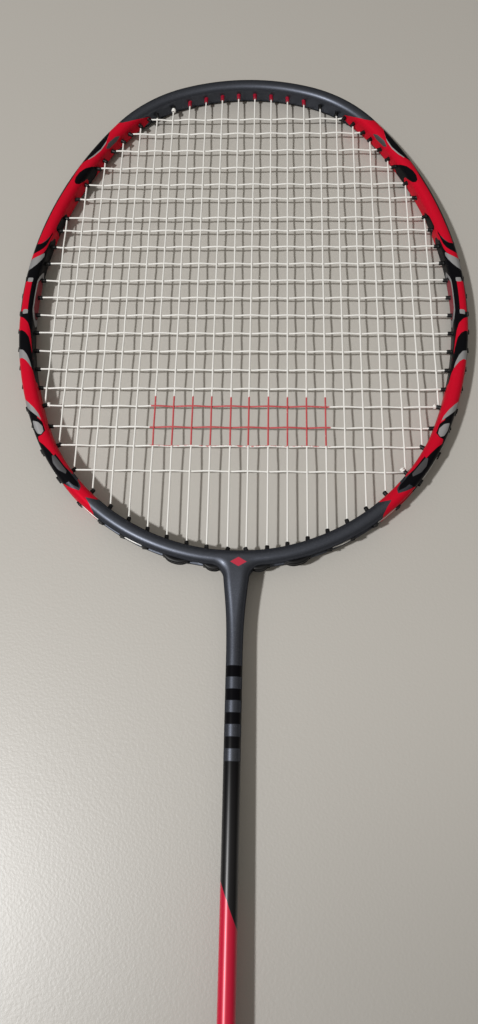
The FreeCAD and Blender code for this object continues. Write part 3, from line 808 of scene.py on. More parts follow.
@dataclass
class StringPattern:
    """The grid of strings and the holes that they use."""

    outline: HoopOutline
    main_pitch: float = 8.5
    main_count: int = 22
    cross_top: float = 652.8
    cross_pitch: float = 9.6
    cross_wide: float = 11.1
    wide_gaps: tuple[int, ...] = (2, 3, 20)
    cross_count: int = 21
    share: float = 4.0
    splay: float = 20.0
    lean_full: float = 22.0
    lean_none: float = 50.0
    linked: tuple = ((11, 12), (13, 14))
    red_each_side: int = 4
    holes: list = field(default_factory=list)
    hole_of: dict = field(default_factory=dict)
    main_x: list = field(init=False, default_factory=list)
    cross_y: list = field(init=False, default_factory=list)

    def __post_init__(self) -> None:
        """Find every string end, then the holes that they share."""
        self.main_x = [(i - (self.main_count - 1) / 2) * self.main_pitch for i in range(self.main_count)]
        self.cross_y = [self.cross_top]
        for gap in range(1, self.cross_count):
            step = self.cross_wide if gap in self.wide_gaps else self.cross_pitch
            self.cross_y.append(self.cross_y[-1] - step)
        ends = {}
        for i, x in enumerate(self.main_x):
            ends["main", i, "top"] = self.outline.meet(x, 0, True)
            ends["main", i, "bottom"] = self.outline.meet(x, 0, False)
        for j, y in enumerate(self.cross_y):
            ends["cross", j, "right"] = self.outline.meet(y, 1, True)
            ends["cross", j, "left"] = self.outline.meet(y, 1, False)
        inner = -self.outline.half_width
        for name in sorted(ends, key=ends.get):
            here = ends[name]
            if self.holes and len(self.holes[-1].names) == 1:
                before = self.holes[-1]
                gap = self.outline.at_heading(here, inner) - self.outline.at_heading(before.heading, inner)
                if np.linalg.norm(gap) < self.share:
                    before.heading = (before.heading + here) / 2
                    before.names.append(name)
                    continue
            self.holes.append(Hole(here, [name]))
        for hole in self.holes:
            self._aim(hole)
            for name in hole.names:
                self.hole_of[name] = hole

    def _lean(self, heading: float, kind: str) -> float:
        """Turn a hole's line towards its own string, fully up to one angle and not at all past another."""
        nearest = round(heading / math.pi) * math.pi
        if kind == "cross":
            nearest = (math.floor(heading / math.pi) + 0.5) * math.pi
        gap = math.degrees(nearest - heading)
        if abs(gap) <= self.lean_full:
            return nearest
        share = max((self.lean_none - abs(gap)) / (self.lean_none - self.lean_full), 0.0)
        return heading + math.radians(math.copysign(self.lean_full * share, gap))

    def _aim(self, hole: Hole) -> None:
        """Give a hole its inner point and its direction out of the hoop."""
        hole.inner = self.outline.at_heading(hole.heading, -self.outline.half_width)
        line = hole.heading
        if len(hole.names) == 1:
            line = self._lean(line, hole.names[0][0])
        middle = self.main_count // 2
        for kind, number, where in hole.names:
            if kind == "main" and where == "bottom" and number in (middle - 1, middle):
                side = 1.0 if number == middle else -1.0
                line = math.pi - side * math.radians(self.splay)
        hole.direction = np.array([math.sin(line), math.cos(line), 0.0])

    def on_axis(self, hole: Hole, out: float, z: float = 0.0) -> np.ndarray:
        """A point of a hole's line, out from the hoop's middle line."""
        return hole.inner + hole.direction * (out + self.outline.half_width) + np.array([0, 0, z])

    def is_red(self, hole: Hole) -> bool:
        """Whether a hole is one of the middle ones at the top."""
        low = self.main_count // 2 - self.red_each_side
        high = self.main_count // 2 + self.red_each_side
        return any(kind == "main" and where == "top" and low <= number < high
                   for kind, number, where in hole.names)

    def mirrored(self, pair: tuple[int, int]) -> tuple[int, int]:
        """The same two mains on the other side."""
        last = self.main_count - 1
        return last - pair[1], last - pair[0]

    def groups(self) -> dict[str, list[Hole]]:
        """CAD node name to the holes whose grommets stand alone in it."""
        linked = set()
        for pair in self.linked:
            for numbers in (pair, self.mirrored(pair)):
                linked.update(id(self.hole_of["main", i, "bottom"]) for i in numbers)
        found: dict[str, list[Hole]] = {}
        for hole in self.holes:
            if id(hole) in linked:
                continue
            place = math.degrees(hole.heading)
            side = "right" if place < 180 else "left"
            turn = min(place, 360 - place)
            if self.is_red(hole):
                name = "grommets_top_centre"
            else:
                zone = "upper" if turn < 52 else "side" if turn < 128 else "lower"
                name = f"grommets_{zone}_{side}"
            found.setdefault(name, []).append(hole)
        return found


# ------------------------------------------------------------------ hoop and throat

@dataclass
class HeadFrame:
    """The hollow hoop with its string groove, and the throat that grows out of it."""

    outline: HoopOutline
    depth: float = 10.4
    corner: float = 3.0
    groove_half: float = 1.8
    groove_depth: float = 1.5
    groove_round: float = 0.35
    step: float = 0.8
    patch_reach: float = 9.4
    groove_fade: tuple[float, float] = (9.5, 17.0)
    neck_length: float = 34.0
    neck_spread: float = 2.1
    neck_run: float = 15.8
    neck_power: float = 1.75
    shaft_radius: float = 3.35
    fillet: float = 5.2
    middle_y: float = 548.3
    degree_length: float = 2.0

    def profile(self) -> tuple[np.ndarray, np.ndarray]:
        """One half of the section, from the middle of the inner wall over the face to the outer wall.

        Returns:
            The (out, z) points, and for each the groove's depth there at full strength.
        """
        w, h, r = self.outline.half_width, self.depth / 2, self.corner
        points = [(-w, z) for z in np.linspace(0, h - r, 4)[:-1]]
        quarter = np.linspace(0, math.pi / 2, 12)
        points += [(-w + r - r * math.cos(a), h - r + r * math.sin(a)) for a in quarter]
        points += [(u, h) for u in np.linspace(-w + r, w - r, 3)[1:-1]]
        points += [(w - r + r * math.sin(a), h - r + r * math.cos(a)) for a in quarter]
        g, k = self.groove_half, self.groove_round
        points += [(w, g + k), (w - k * 0.3, g + k * 0.3), (w - k, g)]
        points += [(w - self.groove_depth + k, g), (w - self.groove_depth + k * 0.3, g - k * 0.3)]
        points += [(w - self.groove_depth, g - k), (w - self.groove_depth, 0.0)]
        return np.array(points), np.array([w - min(u, w) if z < h - r + 1e-6 and u > 0 else 0.0
                                           for u, z in points])

    def over_section(self, half: np.ndarray) -> np.ndarray:
        """Width coordinate of each half-profile point, from -1 to 1."""
        filled = half.copy()
        outer = (filled[:, 0] > 0) & (filled[:, 1] < self.depth / 2 - self.corner)
        filled[outer, 0] = self.outline.half_width
        steps = np.hypot(*np.diff(filled, axis=0).T)
        run = np.concatenate([[0.0], np.cumsum(steps)])
        return run / run[-1] * 2 - 1

    def plan(self, x: np.ndarray, y: np.ndarray) -> np.ndarray:
        """Signed distance in the string plane from the edge of hoop and neck together."""
        hoop = np.abs(self.outline.distance(x, y)) - self.outline.half_width
        below = np.maximum(self.outline.foot - y, 0.0)
        spread = self.neck_spread * np.exp(-(below / self.neck_run) ** self.neck_power)
        half = self.shaft_radius + 0.02 + spread - 0.046 * np.clip(below / self.neck_length, 0, 1)
        neck = np.maximum(np.abs(x) - half, y - (self.outline.foot + 3.0))
        k = self.fillet
        blend = np.clip(0.5 + 0.5 * (neck - hoop) / k, 0, 1)
        return neck * (1 - blend) + hoop * blend - k * blend * (1 - blend)

    def solid(self, points: np.ndarray) -> np.ndarray:
        """Signed distance from the surface of the rounded throat and hoop."""
        x, y, z = points.T
        below = np.clip((self.outline.foot - y) / self.neck_length, 0, 1)
        edge = self.plan(x, y)
        smooth = below * below * (3 - 2 * below)
        half_depth = self.depth / 2 + (self.shaft_radius + 0.02 - self.depth / 2) * (1 - (1 - smooth) ** 1.6)
        round_r = self.corner + (self.shaft_radius + 0.019 - self.corner) * smooth
        qx = edge + round_r
        qz = np.abs(z) - (half_depth - round_r)
        return np.hypot(np.maximum(qx, 0), np.maximum(qz, 0)) + np.minimum(np.maximum(qx, qz), 0) - round_r

    def settle(self, points: np.ndarray, rounds: int = 12) -> np.ndarray:
        """Move points on to the surface along its slope."""
        points = points.copy()
        eps = 1e-3
        for _ in range(rounds):
            value = self.solid(points)
            slope = np.stack([(self.solid(points + eps * axis) - value) / eps for axis in np.eye(3)], 1)
            size = np.maximum((slope ** 2).sum(1), 0.2)
            points -= (value / size)[:, None] * slope * 0.9
        return points

    def build(self) -> bpy.types.Object:
        """Sweep the section round the hoop, open a patch at the throat and grow the neck from it."""
        line = self.outline
        half, groove = self.profile()
        width = self.over_section(half)
        section = np.concatenate([half, half[-2:0:-1] * (1, -1)])
        inset = np.concatenate([groove, groove[-2:0:-1]])
        across = np.concatenate([width, width[-2:0:-1]])
        columns = int(round(line.length / self.step / 2)) * 2
        runs = np.arange(columns) * line.length / columns
        points = []
        for run in runs:
            heading = line.heading_of(run)
            centre = line.at_heading(heading)
            from_foot = abs(run - line.length / 2)
            low, high = self.groove_fade
            share = min(max((from_foot - low) / (high - low), 0.0), 1.0)
            out = section[:, 0] + inset * (1 - share)
            column = np.stack([centre[0] + out * math.sin(heading), centre[1] + out * math.cos(heading),
                               section[:, 1]], 1)
            points.append(column)
        cloud = np.concatenate(points)
        count = len(section)
        near = np.abs(np.repeat(runs, count) - line.length / 2) < 24.0
        fade = np.abs(np.repeat(runs, count) - line.length / 2) < self.groove_fade[0] + 1.0
        movable = near & (fade | (np.tile(inset, columns) < 1e-9))
        cloud[movable] = self.settle(cloud[movable])
        mid = columns // 2
        span = int(self.patch_reach / (line.length / columns))
        first_row = int(np.argmax((half[:, 0] > line.half_width - self.corner * 0.30) & (half[:, 1] > 0)))
        last_row = count - first_row
        faces = []
        for c in range(columns):
            for r in range(count):
                inside = mid - span <= c < mid + span and first_row <= r < last_row
                if inside:
                    continue
                c2, r2 = (c + 1) % columns, (r + 1) % count
                faces.append((c * count + r, c2 * count + r, c2 * count + r2, c * count + r2))
        loop = [(c, first_row) for c in range(mid + span, mid - span, -1)]
        loop += [(mid - span, r) for r in range(first_row, last_row)]
        loop += [(c, last_row) for c in range(mid - span, mid + span)]
        loop += [(mid + span, r) for r in range(last_row, first_row, -1)]
        start = [c * count + r for c, r in loop]
        wide, tall = 2 * span, last_row - first_row
        quarter = math.pi / 4
        angles = np.concatenate([
            np.linspace(3 * quarter, quarter, wide + 1)[:-1], np.linspace(quarter, -quarter, tall + 1)[:-1],
            np.linspace(-quarter, -3 * quarter, wide + 1)[:-1],
            np.linspace(-3 * quarter, -5 * quarter, tall + 1)[:-1]])
        drops = np.concatenate([np.linspace(0.5, 6.0, 12), np.linspace(7.2, self.neck_length, 16)])
        edge = cloud[start]
        rows = [cloud]
        for number, drop in enumerate(drops):
            share = min((number + 1) / 11, 1.0)
            share = share * share * (3 - 2 * share)
            ring = np.stack([np.cos(angles) * 4.6, np.full(len(angles), line.foot - drop),
                             np.sin(angles) * 4.6], 1)
            guess = edge * (1 - share) + ring * share
            guess[:, 1] = np.minimum(guess[:, 1], edge[:, 1]) * (1 - share) + (line.foot - drop) * share
            rows.append(self.settle(guess))
        everything = np.concatenate(rows)
        previous = start
        base = len(cloud)
        for _ in drops:
            fresh = list(range(base, base + len(start)))
            for a in range(len(start)):
                b = (a + 1) % len(start)
                faces.append((previous[a], previous[b], fresh[b], fresh[a]))
            previous = fresh
            base += len(start)
        over = np.concatenate([np.tile(across, columns), np.zeros(len(everything) - len(cloud))])
        turn = self.angle_round_head(everything)
        numbers = {f"paint_{n}": self.paint_depth(turn, over, layer) for n, layer in enumerate(HOOP_PAINT)}
        made = piece_from("hoop_and_throat", everything * MM, faces, numbers)
        face_outwards(made)
        return made

    def angle_round_head(self, points: np.ndarray) -> np.ndarray:
        """Degrees from the top of the head to each point, the same on both sides."""
        return np.degrees(np.arctan2(np.abs(points[:, 0]), points[:, 1] - self.middle_y))

    def paint_depth(self, turn: np.ndarray, across: np.ndarray, layer: PaintLayer) -> np.ndarray:
        """How far points lie inside a layer's shapes.

        Args:
            turn: each point's degrees round the head.
            across: each point's place across the section.
            layer: the shapes.

        Returns:
            Millimetres inside, negative outside.
        """
        scale = np.array([self.degree_length, self.depth / 2 + self.outline.half_width - 1.3])
        places = np.stack([turn, across], 1) * scale
        best = np.full(len(places), -50.0)
        for shape in layer.shapes:
            corners = np.array(shape) * scale
            nearest = np.full(len(places), 1e9)
            inside = np.zeros(len(places), bool)
            for a, b in zip(corners, np.roll(corners, -1, 0)):
                run, off = b - a, places - a
                share = np.clip((off @ run) / (run @ run), 0, 1)
                nearest = np.minimum(nearest, np.hypot(*(off - share[:, None] * run).T))
                spans = (a[1] > places[:, 1]) != (b[1] > places[:, 1])
                rise = run[1] if run[1] else 1.0
                inside ^= spans & (off[:, 0] < off[:, 1] / rise * run[0])
            best = np.maximum(best, np.where(inside, nearest, -nearest))
        return best


@dataclass
class Shaft:
    """The straight carbon tube between the throat and the cone."""

    radius: float = 3.35
    sides: int = 48

    def build(self) -> bpy.types.Object:
        """Turn a tube with softened ends."""
        low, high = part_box("shaft")
        start, end = low.y / MM, high.y / MM
        r = self.radius
        stations = [(start, r * 0.7), (start, r - 0.25), (start + 0.25, r)]
        stations += [(y, r) for y in np.linspace(start + 8, end - 6, 60)]
        stations += [(end - 0.25, r), (end, r - 0.25), (end, r * 0.7)]
        made = lathe("shaft_tube", stations, self.sides)
        return made


def ring_stack(name: str, rings: Sequence[tuple[float, np.ndarray]],
               hollow: bool = False) -> bpy.types.Object:
    """Skin a stack of rings about the racket's long axis.

    Args:
        name: the piece's name.
        rings: height, and the reach at equal angles all round, in millimetres.
        hollow: whether the last ring joins the first, as a sleeve's do, and no ends are closed.

    Returns:
        The new piece.
    """
    sides = len(rings[0][1])
    angles = np.linspace(0, 2 * math.pi, sides, endpoint=False)
    points = np.concatenate([np.stack([reach * np.cos(angles), np.full(sides, y), reach * np.sin(angles)], 1)
                             for y, reach in rings])
    faces = grid_faces(len(rings), sides, close_rows=hollow)
    if not hollow:
        faces.append(tuple(range(sides)))
        faces.append(tuple(range(len(points) - sides, len(points))))
    made = piece_from(name, points * MM, faces)
    face_outwards(made)
    return made


def lathe(name: str, stations: Sequence[tuple[float, float]], sides: int,
          hollow: bool = False) -> bpy.types.Object:
    """Turn (y, radius) stations about the racket's long axis, in millimetres."""
    return ring_stack(name, [(y, np.full(sides, radius)) for y, radius in stations], hollow)


# ------------------------------------------------------------------ handle

@dataclass(frozen=True)
class HandleForm:
    """The handle's eight-sided form, flared at the butt."""

    straight: tuple[float, float, float] = (22.6, 19.6, 6.2)
    flare: tuple[float, float, float] = (27.0, 24.0, 7.4)
    flare_end: float = 11.0
    straight_start: float = 27.0
    corner_slope: float = 0.8
    sharpness: float = 34.0

    def size_at(self, y: float) -> np.ndarray:
        """Width, depth and bevel at a height."""
        share = min(max((y - self.flare_end) / (self.straight_start - self.flare_end), 0.0), 1.0)
        return np.array(self.flare) * (1 - share) + np.array(self.straight) * share

    def reach(self, y: float, grow: float, sides: int) -> np.ndarray:
        """Distance from the axis all round.

        Args:
            y: the height.
            grow: how far the skin stands off the wood.
            sides: how many equal angles.
        """
        width, depth, bevel = self.size_at(y) + np.array([2, 2, 0.5]) * grow
        flat = bevel * self.corner_slope
        normals = [(1.0, 0.0), (0.0, 1.0)]
        long = math.hypot(flat, bevel)
        normals.append((flat / long, bevel / long))
        offsets = [width / 2, depth / 2, (flat * width / 2 + bevel * (depth / 2 - flat)) / long]
        angles = np.linspace(0, 2 * math.pi, sides, endpoint=False)
        x, z = np.abs(np.cos(angles)), np.abs(np.sin(angles))
        total = sum((np.clip(nx * x + nz * z, 0, None) / c) ** self.sharpness
                    for (nx, nz), c in zip(normals, offsets))
        return total ** (-1 / self.sharpness)


@dataclass
class Handle:
    """Everything from the butt to the cone, round the wooden core."""

    form: HandleForm = HandleForm()
    sides: int = 96
    tape: float = 1.7
    film: float = 0.35
    film_length: float = 14.0
    tape_start: float = 3.0
    tape_pitch: float = 23.0
    seam_depth: float = 0.75
    cone_base: float = 11.4
    cone_top: float = 4.5
    cone_band: float = 3.0
    cone_mid: tuple[float, float] = (190.0, 7.6)
    badge: float = 8.0
    plug: float = 6.0
    spigot: float = 7.6
    shaft_clear: float = 3.36
    top: float = field(init=False, default=0.0)

    def build(self) -> None:
        """Make and dress every piece."""
        self.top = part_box("grip_tape")[1].y / MM
        dress(self.grip(), PerforatedTape(pitch=self.tape_pitch).build(), "grip_polyurethane", "grip_tape")
        dress(self.finishing(), FinishingFilm().build(), "finishing_film", "finishing_tape")
        black = MouldedNylon("cone_nylon", (0.006, 0.006, 0.007), (0.03, 0.03, 0.032), roughness=0.3).build()
        dress(self.cone(), black, "cone_plastic", "cone")
        cap = MouldedNylon("cap_nylon", (0.008, 0.008, 0.009), (0.035, 0.035, 0.038)).build()
        dress(self.cap(), cap, "cap_plastic", "butt_cap")
        dress(self.disc(), BadgeFilm().build(), "badge_film", "butt_badge")

    def grip(self) -> bpy.types.Object:
        """A tape wound upwards: soft crown across its width and a seam at each turn."""
        turn = np.arange(self.sides) / self.sides
        heights = np.linspace(self.tape_start, self.top, 300)
        rings = []
        for y in heights:
            across = np.mod((y - self.tape_start) / self.tape_pitch - turn, 1.0)
            near = np.minimum(across, 1 - across)
            dip = self.seam_depth * np.exp(-(near / 0.035) ** 2) + 0.18 * (2 * across - 1) ** 4
            dip += 0.22 * np.clip(1 - across / 0.5, 0, 1) * (across < 0.5)
            edge = 0.3 * math.exp(-min(y - self.tape_start, self.top - y) / 0.35)
            rings.append((y, self.form.reach(y, self.tape, self.sides) - dip - edge))
        heights = (self.top, 100.0, self.form.straight_start, self.form.flare_end, self.tape_start)
        inner = [(y, self.form.reach(y, 0.02, self.sides)) for y in heights]
        made = ring_stack("wound_grip", rings + inner, hollow=True)
        self.unwrap(made)
        return made

    def unwrap(self, made: bpy.types.Object) -> None:
        """Store turns round the handle and tape widths up it as the map "wrap"."""
        mesh = made.data
        layer = mesh.uv_layers.new(name="wrap")
        for face in mesh.polygons:
            spots = [mesh.vertices[mesh.loops[k].vertex_index].co for k in face.loop_indices]
            turns = [math.atan2(v.z, v.x) / (2 * math.pi) % 1.0 for v in spots]
            if max(turns) - min(turns) > 0.5:
                turns = [t + 1.0 if t < 0.5 else t for t in turns]
            for k, v, t in zip(face.loop_indices, spots, turns):
                layer.data[k].uv = (t, (v.y / MM - self.tape_start) / self.tape_pitch)

    def finishing(self) -> bpy.types.Object:
        """Two turns of thin film round the end of the tape."""
        start = self.top - self.film_length
        turn = np.arange(self.sides) / self.sides
        rings = []
        for y in np.linspace(start, self.top, 34):
            from_end = min(y - start, self.top - y)
            crease = 0.05 * np.sin(9 * 2 * math.pi * turn + y * 1.3) ** 2
            step = 0.12 * (np.mod((y - start) / self.film_length * 0.6 - turn, 1.0) < 0.5)
            edge = 0.2 * math.exp(-from_end / 0.12)
            rings.append((y, self.form.reach(y, self.tape + self.film, self.sides) - crease - step - edge))
        inner = [(y, self.form.reach(y, self.tape - 0.9, self.sides)) for y in (self.top, start)]
        return ring_stack("end_film", rings + inner, hollow=True)

    def cone(self) -> bpy.types.Object:
        """A smooth cone with a straight band at its base and a lip round the shaft."""
        low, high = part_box("cone")
        start, end = low.y / MM, high.y / MM
        (y0, r0), (y1, r1), (y2, r2) = ((start + self.cone_band, self.cone_base), self.cone_mid,
                                        (end, self.cone_top))
        stations = [(start, self.spigot), (start, self.cone_base - 0.5),
                    (start + 0.15, self.cone_base - 0.12), (start + 0.5, self.cone_base),
                    (y0 - 0.35, self.cone_base), (y0 - 0.1, self.cone_base - 0.25),
                    (y0 + 0.15, self.cone_base - 0.35)]
        for y in np.linspace(y0 + 0.5, y2 - 0.6, 40):
            share = ((y - y1) * (y - y2) / ((y0 - y1) * (y0 - y2)),
                     (y - y0) * (y - y2) / ((y1 - y0) * (y1 - y2)),
                     (y - y0) * (y - y1) / ((y2 - y0) * (y2 - y1)))
            radius = share[0] * r0 + share[1] * r1 + share[2] * r2
            ridge = 0.14 if any(abs(y - mark) < 0.45 for mark in (y2 - 4.0, y2 - 6.2)) else 0.0
            stations.append((y, radius - ridge - 0.06))
        bore, seat = self.shaft_clear, start + 12.0
        stations += [(end - 0.25, r2 - 0.1), (end, r2 - 0.4), (end, bore), (end - 1.5, bore), (seat, bore),
                     (seat, self.spigot)]
        return lathe("cone_moulding", stations, 72, hollow=True)

    def cap(self) -> bpy.types.Object:
        """The butt plate: rounded edge, recess for the badge and a plug up into the core."""
        circle = np.ones(self.sides)
        edge = self.form.reach(self.tape_start, self.tape, self.sides)
        rings = [(0.5, circle * 0.5), (0.5, circle * (self.badge + 0.02)),
                 (0.08, circle * (self.badge + 0.04)), (0.0, circle * (self.badge + 0.25)),
                 (0.0, (edge - 0.9) * 0.5 + circle * (self.badge + 0.4) * 0.5)]
        for share in np.linspace(0, 1, 7):
            bend = share * math.pi / 2
            rings.append((0.9 * (1 - math.cos(bend)), edge - 0.9 + 0.9 * math.sin(bend)))
        rings += [(2.7, edge), (2.92, edge - 0.08), (3.0, edge - 0.3), (3.0, circle * (self.plug + 0.2)),
                  (3.2, circle * self.plug), (11.8, circle * self.plug), (12.0, circle * (self.plug - 0.2))]
        return ring_stack("butt_plate", rings)

    def disc(self) -> bpy.types.Object:
        """A thin, slightly domed round badge."""
        stations = [(0.5, self.badge - 0.1), (0.16, self.badge - 0.03), (0.1, self.badge - 0.2), (0.07, 6.6),
                    (0.04, 5.0), (0.02, 3.4), (0.005, 1.8), (0.0, 0.4)]
        return lathe("badge_disc", stations, 64)


# ------------------------------------------------------------------ strings

# ------------------------------------------------------------------ strings

@dataclass
class StringBed:
    """Two cords, woven over and under each other, with their loops in the outer groove."""

    pattern: StringPattern
    radius: float = 0.39
    clear: float = 1.0
    main_wave: float = 0.24
    cross_wave: float = 0.34
    samples: int = 6
    sides: int = 10
    layer: float = 0.30
    knot_layer: float = 0.36
    nub: float = 2.2
    red_nub: float = 2.6
    leave: float = 0.4
    groove_out: float = 3.0
    knot_reach: float = 0.62
    knot_turns: float = 2.4
    knot_rise: float = 0.62

    def nub_of(self, hole: Hole) -> float:
        """How far a hole's sleeve reaches into the head."""
        return self.red_nub if self.pattern.is_red(hole) else self.nub

    def ends(self, hole: Hole, z: float, outwards: bool) -> list[np.ndarray]:
        """The points of a cord that passes a hole."""
        line = self.pattern.outline
        pair = [self.pattern.on_axis(hole, -line.half_width - self.nub_of(hole) * self.leave, z),
                self.pattern.on_axis(hole, self.groove_out, z)]
        return pair if outwards else pair[::-1]

    def groove_run(self, a: Hole, b: Hole, z: float) -> list[np.ndarray]:
        """Points along the outer groove between two holes."""
        line = self.pattern.outline
        first, last = a.heading, b.heading
        if abs(last - first) > math.pi:
            first, last = (first - 2 * math.pi, last) if first > last else (first, last - 2 * math.pi)
        steps = max(int(abs(last - first) * 100 / 4), 1)
        lift = np.array([0, 0, z])
        return [line.at_heading(first + (last - first) * k / (steps + 1), self.groove_out) + lift
                for k in range(1, steps + 1)]

    def chord(self, kind: str, number: int) -> tuple[np.ndarray, np.ndarray]:
        """The two sleeve tips that one string runs straight between, low or left one first."""
        ends = ("bottom", "top") if kind == "main" else ("left", "right")
        holes = (self.pattern.hole_of[kind, number, where] for where in ends)
        first, last = (self.ends(hole, 0.0, True)[0] for hole in holes)
        return first, last

    def crossing(self, main: int, cross: int) -> np.ndarray:
        """Where a main and a cross meet, seen from the front."""
        (a, b), (c, d) = self.chord("main", main), self.chord("cross", cross)
        r, q = b - a, d - c
        share = ((c[0] - a[0]) * q[1] - (c[1] - a[1]) * q[0]) / (r[0] * q[1] - r[1] * q[0])
        return a + share * r

    def wave(self, meets: Sequence[np.ndarray], start: np.ndarray, end: np.ndarray, amplitude: float,
             phase: int) -> list[np.ndarray]:
        """Points of one string between its ends, over and under the strings that it meets.

        Args:
            meets: where it meets them, in the order that it does.
            start: the sleeve tip that it comes from.
            end: the sleeve tip that it goes to.
            amplitude: how far it swings out of the plane.
            phase: 0 or 1, whether its first meeting is over or under.

        Returns:
            The points, without the two tips.
        """
        run = (end - start)[:2]
        length = float(np.linalg.norm(run))
        way = run / length
        kept = [(number, spot) for number, spot in enumerate(meets)
                if self.clear < float((spot - start)[:2] @ way) < length - self.clear]
        points = []
        for (number, a), (_, b) in zip(kept, kept[1:]):
            sign = 1.0 if (number + phase) % 2 == 0 else -1.0
            for k in range(self.samples):
                t = k / self.samples
                spot = a + (b - a) * t
                points.append(np.array([spot[0], spot[1], sign * amplitude * math.cos(math.pi * t)]))
        number, spot = kept[-1]
        sign = 1.0 if (number + phase) % 2 == 0 else -1.0
        points.append(np.array([spot[0], spot[1], sign * amplitude]))
        return points

    def mains_route(self) -> list[np.ndarray]:
        """The mains' cord from one tie-off to the other."""
        pattern = self.pattern
        points: list[np.ndarray] = []
        previous = None
        for i in range(pattern.main_count):
            upward = i % 2 == 0
            order = ("bottom", "top") if upward else ("top", "bottom")
            first, last = (pattern.hole_of["main", i, where] for where in order)
            if previous is not None:
                points += self.groove_run(previous, first, -self.layer)
                points += self.ends(first, -self.layer, False)
            else:
                points.append(self.ends(first, -self.layer, True)[0])
            rows = range(pattern.cross_count)
            meets = [self.crossing(i, j) for j in (reversed(rows) if upward else rows)]
            phase = i + (pattern.cross_count - 1 if upward else 0)
            points += self.wave(meets, points[-1], self.ends(last, 0, True)[0], self.main_wave, phase)
            points += self.ends(last, -self.layer, True)
            previous = last
        points.pop()
        return points

    def crosses_route(self) -> list[np.ndarray]:
        """The crosses' cord from the knot at the top left to the bottom."""
        pattern = self.pattern
        anchor = pattern.hole_of["main", 6, "top"]
        points = self.ends(anchor, self.layer, True)
        previous = anchor
        for j in range(pattern.cross_count):
            rightward = j % 2 == 0
            order = ("left", "right") if rightward else ("right", "left")
            first, last = (pattern.hole_of["cross", j, where] for where in order)
            points += self.groove_run(previous, first, self.layer)
            points += self.ends(first, self.layer, False)
            columns = range(pattern.main_count)
            meets = [self.crossing(i, j) for i in (columns if rightward else reversed(columns))]
            phase = j + 1 + (0 if rightward else pattern.main_count - 1)
            points += self.wave(meets, points[-1], self.ends(last, 0, True)[0], self.cross_wave, phase)
            points += self.ends(last, self.layer, True)
            previous = last
        points.pop()
        return points

    @staticmethod
    def softened(points: Sequence[np.ndarray], reach: float = 0.7, least: float = 0.12) -> np.ndarray:
        """Round off the sharp corners of a route."""
        out = [points[0]]
        for before, corner, after in zip(points, points[1:], points[2:]):
            run_in, run_out = corner - before, after - corner
            a, b = np.linalg.norm(run_in), np.linalg.norm(run_out)
            turn = math.acos(max(-1.0, min(1.0, float(run_in @ run_out) / (a * b))))
            if turn < least:
                out.append(corner)
                continue
            near = min(reach, 0.45 * a, 0.45 * b)
            p, q = corner - run_in / a * near, corner + run_out / b * near
            for t in (0.0, 0.25, 0.5, 0.75, 1.0):
                out.append(p * (1 - t) ** 2 + corner * 2 * t * (1 - t) + q * t * t)
        out.append(points[-1])
        return np.array(out)

    def tube(self, name: str, route: np.ndarray) -> bpy.types.Object:
        """A round cord along a route, with its own length and angle stored on its points."""
        tangent = np.gradient(route, axis=0)
        tangent /= np.linalg.norm(tangent, axis=1)[:, None]
        up = np.array([0.0, 0.0, 1.0])
        side = np.cross(tangent, up)
        steep = np.linalg.norm(side, axis=1) < 0.2
        side[steep] = np.cross(tangent[steep], np.array([0.6, 0.8, 0.0]))
        side /= np.linalg.norm(side, axis=1)[:, None]
        rise = np.cross(side, tangent)
        angles = np.linspace(0, 2 * math.pi, self.sides, endpoint=False)
        rings = route[:, None, :] + self.radius * (
            side[:, None, :] * np.cos(angles)[None, :, None]
            + rise[:, None, :] * np.sin(angles)[None, :, None])
        run = np.concatenate([[0.0], np.cumsum(np.linalg.norm(np.diff(route, axis=0), axis=1))])
        faces = grid_faces(len(route), self.sides)
        faces.append(tuple(range(self.sides)))
        total = len(route) * self.sides
        faces.append(tuple(range(total - self.sides, total)))
        made = piece_from(name, rings.reshape(-1, 3) * MM, faces,
                          {"down_cord": np.repeat(run * MM, self.sides),
                           "round_cord": np.tile(angles, len(route))})
        face_outwards(made)
        return made

    def knot(self, hole: Hole, z: float) -> np.ndarray:
        """The route of a short tail wound round its own cord and drawn back under itself."""
        gap = self.pattern.outline.half_width + self.nub_of(hole) + 0.52
        centre = self.pattern.on_axis(hole, -gap, z)
        side = np.array([hole.direction[1], -hole.direction[0], 0.0])
        up = np.array([0.0, 0.0, 1.0])
        points = []
        for t in np.linspace(0, 1, 40):
            angle = t * self.knot_turns * 2 * math.pi
            reach = self.knot_reach + 0.22 * math.sin(math.pi * t)
            slide = (t - 0.5) * 2 * self.knot_rise + 0.15 * math.sin(angle * 0.5)
            points.append(centre + reach * (side * math.cos(angle) + up * math.sin(angle))
                          + hole.direction * slide)
        return np.array(points)

    def knots(self) -> bpy.types.Object:
        """All four tie-offs as one piece."""
        last = self.pattern.main_count - 1
        low = self.pattern.cross_count - 1
        ends = [(("main", 0, "bottom"), -1), (("main", last, "bottom"), -1), (("main", 6, "top"), 1),
                (("cross", low, "right"), 1)]
        coils = [self.tube("coil", self.knot(self.pattern.hole_of[key], sign * self.knot_layer))
                 for key, sign in ends]
        return joined("tie_off_knots", coils)

    def build(self) -> list[bpy.types.Object]:
        """Make both cords."""
        mains = self.tube("string_cord_upright", self.softened(self.mains_route()))
        crosses = self.tube("string_cord_level", self.softened(self.crosses_route()))
        return [mains, crosses]


# ------------------------------------------------------------------ grommets

